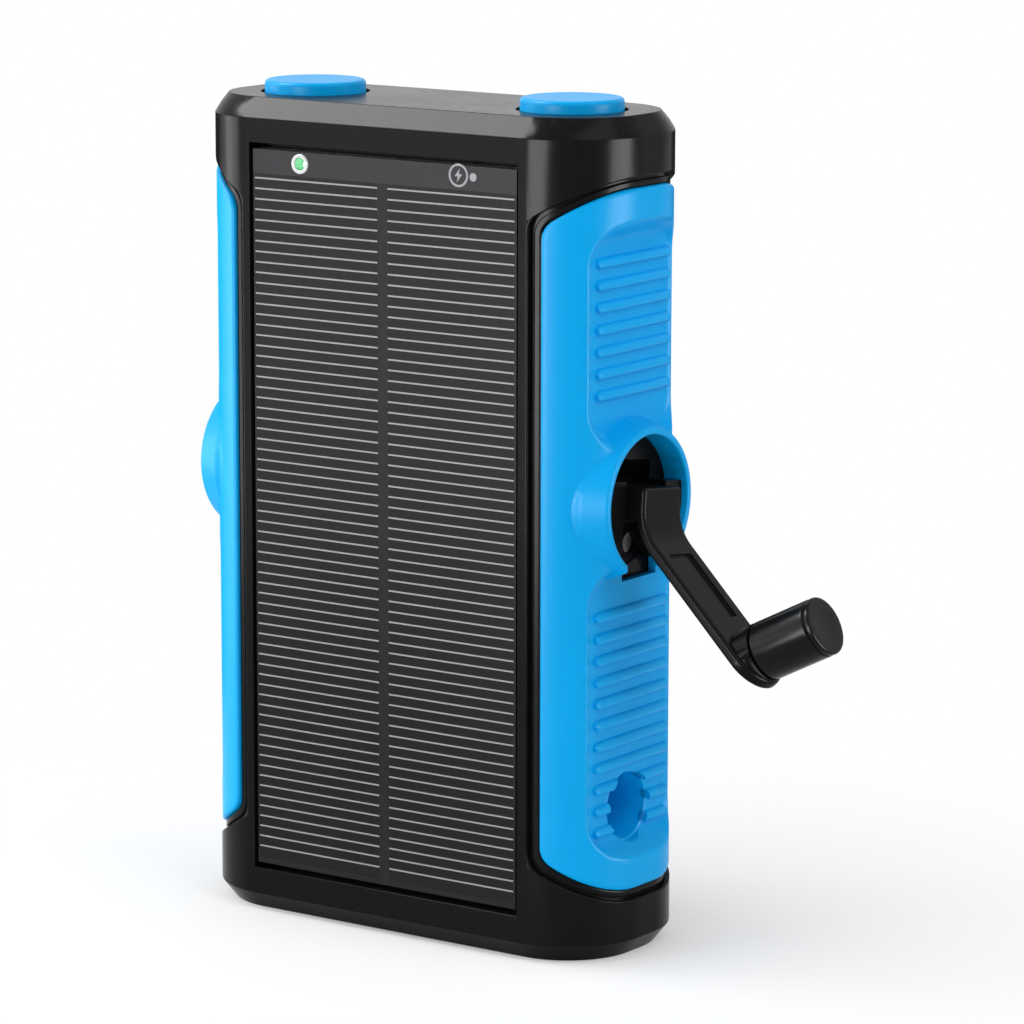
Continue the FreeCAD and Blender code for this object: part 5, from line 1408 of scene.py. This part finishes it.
def soft_lamp(name, turn, rise, distance, width, tall, strength, sheen, spread):
    """Area lamp at a heading and height seen from the object; strength is its brightness.

    One without sheen only lights, and one without spread only shows as a highlight.
    """
    turn, rise = math.radians(turn), math.radians(rise)
    away = Vector((math.sin(turn) * math.cos(rise), -math.cos(turn) * math.cos(rise),
                   math.sin(rise)))
    lamp = bpy.data.lights.new(name, "AREA")
    lamp.shape = "RECTANGLE"
    lamp.size = width
    lamp.size_y = tall
    lamp.energy = strength * math.pi * width * tall
    obj = scene_object(name, lamp)
    place = Vector(TARGET_MM) * MM + away * distance
    obj.matrix_world = Matrix.Translation(place) @ away.to_track_quat("Z", "Y").to_matrix().to_4x4()
    obj.visible_camera = False
    obj.visible_glossy = sheen
    obj.visible_diffuse = spread


def dark_card():
    """Low curved black card behind the object that darkens the edges of glossy pieces."""
    steps = 24
    turns = [math.radians(CARD_START + (CARD_END - CARD_START) * step / steps)
             for step in range(steps + 1)]
    points = [(CARD_REACH * math.sin(turn), -CARD_REACH * math.cos(turn), z)
              for z in (0.0, CARD_HEIGHT) for turn in turns]
    faces = [(step, step + 1, steps + step + 2, steps + step + 1) for step in range(steps)]
    card = mesh_object("dark_card", points, faces)
    card.data.materials.append(plastic_finish("card_black", (0.001, 0.001, 0.001), 1.0))
    for kind in ("camera", "diffuse", "transmission", "shadow"):
        setattr(card, "visible_" + kind, False)


def seen_rays(wiring):
    """One where a ray comes from the camera or off glossy or clear surfaces."""
    path = wiring.add("ShaderNodeLightPath").outputs
    either = wiring.math("ADD", path["Is Camera Ray"], path["Is Glossy Ray"])
    return wiring.math("MINIMUM", wiring.math("ADD", either, path["Is Transmission Ray"]), 1.0)


def make_world():
    """White to what is seen or mirrored, and half as bright to what it lights."""
    world = bpy.data.worlds.new("world")
    bpy.context.scene.world = world
    world.use_nodes = True
    world.node_tree.nodes.clear()
    wiring = Wiring(world.node_tree)
    strength = wiring.math("MULTIPLY", seen_rays(wiring), 1.0 - AMBIENT)
    total = wiring.math("ADD", strength, AMBIENT)
    sky = wiring.first("ShaderNodeBackground", {"Color": WHITE, "Strength": total})
    wiring.add("ShaderNodeOutputWorld", {"Surface": sky})


def floor_finish(rgb):
    """Pale floor that takes the shadow near the object and fades to plain white far off."""
    finish, wiring, shader = blank_finish("floor_paper")
    grained(wiring, shader, opaque(rgb), 0.85, 60.0, 0.01, 0.05)
    wiring.feed(shader, {"Specular IOR Level": 0.1})
    away = wiring.add("ShaderNodeVectorMath", {0: wiring.place()}, operation="LENGTH")
    fade = wiring.remap(away.outputs["Value"], 0.0, FADE_END)
    share = wiring.math("MULTIPLY", fade, seen_rays(wiring))
    glow = wiring.first("ShaderNodeEmission", {"Color": WHITE, "Strength": 1.0})
    both = wiring.first("ShaderNodeMixShader", {0: share, 1: shader.outputs[0], 2: glow})
    wiring.feed(finish.node_tree.nodes["Material Output"], {"Surface": both})
    return finish


def build_stage(tints):
    """Round floor, world, lamps, dark card and camera."""
    bpy.context.scene.view_settings.view_transform = "Standard"
    steps = FLOOR_STEPS
    points = [(0.0, 0.0, 0.0)]
    for radius in FLOOR_RADII:
        points += [(radius * math.cos(2 * math.pi * step / steps),
                    radius * math.sin(2 * math.pi * step / steps), 0.0) for step in range(steps)]
    faces = [(0, 1 + step, 1 + (step + 1) % steps) for step in range(steps)]
    for ring in range(len(FLOOR_RADII) - 1):
        base = 1 + ring * steps
        faces += [(base + step, base + steps + step, base + steps + (step + 1) % steps,
                   base + (step + 1) % steps) for step in range(steps)]
    floor = mesh_object("floor", points, faces)
    floor.data.materials.append(floor_finish(tints.floor))
    make_world()
    for settings in LAMPS:
        soft_lamp(*settings)
    dark_card()
    make_camera()


# ---- what stays from the CAD --------------------------------------------------------------

def build_inner_pieces():
    """Finishes for every CAD node that keeps its own shape."""
    for node, obj in frame["nodes"].items():
        finish = finish_for(SLOTS[node])
        obj.data.materials.clear()
        obj.data.materials.append(finish)


# ---- operators ----------------------------------------------------------------------------

class GENERATOR_OT_stage(bpy.types.Operator):
    """Set up the floor, the lamps and the camera"""
    bl_idname = "generator.stage"
    bl_label = "Stage"

    def execute(self, context):
        build_stage(context.scene.generator_colours)
        return {"FINISHED"}


class GENERATOR_OT_inner_pieces(bpy.types.Operator):
    """Give the pieces inside the case their finishes"""
    bl_idname = "generator.inner_pieces"
    bl_label = "Inner Pieces"

    def execute(self, context):
        build_inner_pieces()
        return {"FINISHED"}


class GENERATOR_OT_case(bpy.types.Operator):
    """Build the moulded case with its eased edges"""
    bl_idname = "generator.case"
    bl_label = "Case"

    def execute(self, context):
        build_case(context.scene.generator_sizes)
        return {"FINISHED"}


class GENERATOR_OT_back(bpy.types.Operator):
    """Build the back cover and its screws"""
    bl_idname = "generator.back"
    bl_label = "Back Cover"

    def execute(self, context):
        build_back(context.scene.generator_sizes)
        return {"FINISHED"}


class GENERATOR_OT_sockets(bpy.types.Operator):
    """Build the two charging sockets"""
    bl_idname = "generator.sockets"
    bl_label = "Sockets"

    def execute(self, context):
        build_sockets()
        return {"FINISHED"}


class GENERATOR_OT_grips(bpy.types.Operator):
    """Build the two rubber grips with their ribs"""
    bl_idname = "generator.grips"
    bl_label = "Grips"

    def execute(self, context):
        for side in (1, -1):
            build_grip(context.scene.generator_sizes, side)
        return {"FINISHED"}


class GENERATOR_OT_panel(bpy.types.Operator):
    """Build the solar panel's face and its finger lines"""
    bl_idname = "generator.panel"
    bl_label = "Solar Panel"

    def execute(self, context):
        build_panel(context.scene.generator_sizes)
        return {"FINISHED"}


class GENERATOR_OT_marks(bpy.types.Operator):
    """Build the plain pictogram and dot on the panel's header"""
    bl_idname = "generator.marks"
    bl_label = "Panel Marks"

    def execute(self, context):
        build_marks()
        return {"FINISHED"}


class GENERATOR_OT_lamp(bpy.types.Operator):
    """Build the status lamp's ring and lens"""
    bl_idname = "generator.lamp"
    bl_label = "Status Lamp"

    def execute(self, context):
        build_lamp()
        return {"FINISHED"}


class GENERATOR_OT_buttons(bpy.types.Operator):
    """Build the two push buttons"""
    bl_idname = "generator.buttons"
    bl_label = "Push Buttons"

    def execute(self, context):
        for side in (1, -1):
            build_button(context.scene.generator_sizes, side)
        return {"FINISHED"}


class GENERATOR_OT_hub(bpy.types.Operator):
    """Build the crank's hub"""
    bl_idname = "generator.hub"
    bl_label = "Crank Hub"

    def execute(self, context):
        build_hub(context.scene.generator_sizes)
        return {"FINISHED"}


class GENERATOR_OT_arm(bpy.types.Operator):
    """Build the crank's folding arm"""
    bl_idname = "generator.arm"
    bl_label = "Crank Arm"

    def execute(self, context):
        build_arm(context.scene.generator_sizes)
        return {"FINISHED"}


class GENERATOR_OT_knob(bpy.types.Operator):
    """Build the turning knob and its cap"""
    bl_idname = "generator.knob"
    bl_label = "Knob"

    def execute(self, context):
        build_knob(context.scene.generator_sizes)
        return {"FINISHED"}


OPERATORS = (GENERATOR_OT_stage, GENERATOR_OT_inner_pieces, GENERATOR_OT_case, GENERATOR_OT_back,
             GENERATOR_OT_sockets, GENERATOR_OT_grips, GENERATOR_OT_panel, GENERATOR_OT_marks,
             GENERATOR_OT_lamp, GENERATOR_OT_buttons, GENERATOR_OT_hub, GENERATOR_OT_arm,
             GENERATOR_OT_knob)


class GENERATOR_PT_pieces(bpy.types.Panel):
    """Pieces, sizes and colours of the hand crank generator"""
    bl_idname = "GENERATOR_PT_pieces"
    bl_label = "Hand Crank Generator"
    bl_space_type = "VIEW_3D"
    bl_region_type = "UI"
    bl_category = "Generator"

    def draw(self, context):
        for operator in OPERATORS:
            self.layout.operator(operator.bl_idname)
        for group in (context.scene.generator_sizes, context.scene.generator_colours):
            column = self.layout.column()
            for name in group.__annotations__:
                column.prop(group, name)


CLASSES = (GeneratorSizes, GeneratorColours) + OPERATORS + (GENERATOR_PT_pieces,)


def register():
    for item in CLASSES:
        bpy.utils.register_class(item)
    bpy.types.Scene.generator_sizes = bpy.props.PointerProperty(type=GeneratorSizes)
    bpy.types.Scene.generator_colours = bpy.props.PointerProperty(type=GeneratorColours)


def unregister():
    del bpy.types.Scene.generator_colours
    del bpy.types.Scene.generator_sizes
    for item in reversed(CLASSES):
        bpy.utils.unregister_class(item)


def main():
    register()
    for operator in OPERATORS:
        family, name = operator.bl_idname.split(".")
        getattr(getattr(bpy.ops, family), name)()


if __name__ == "__main__":
    main()
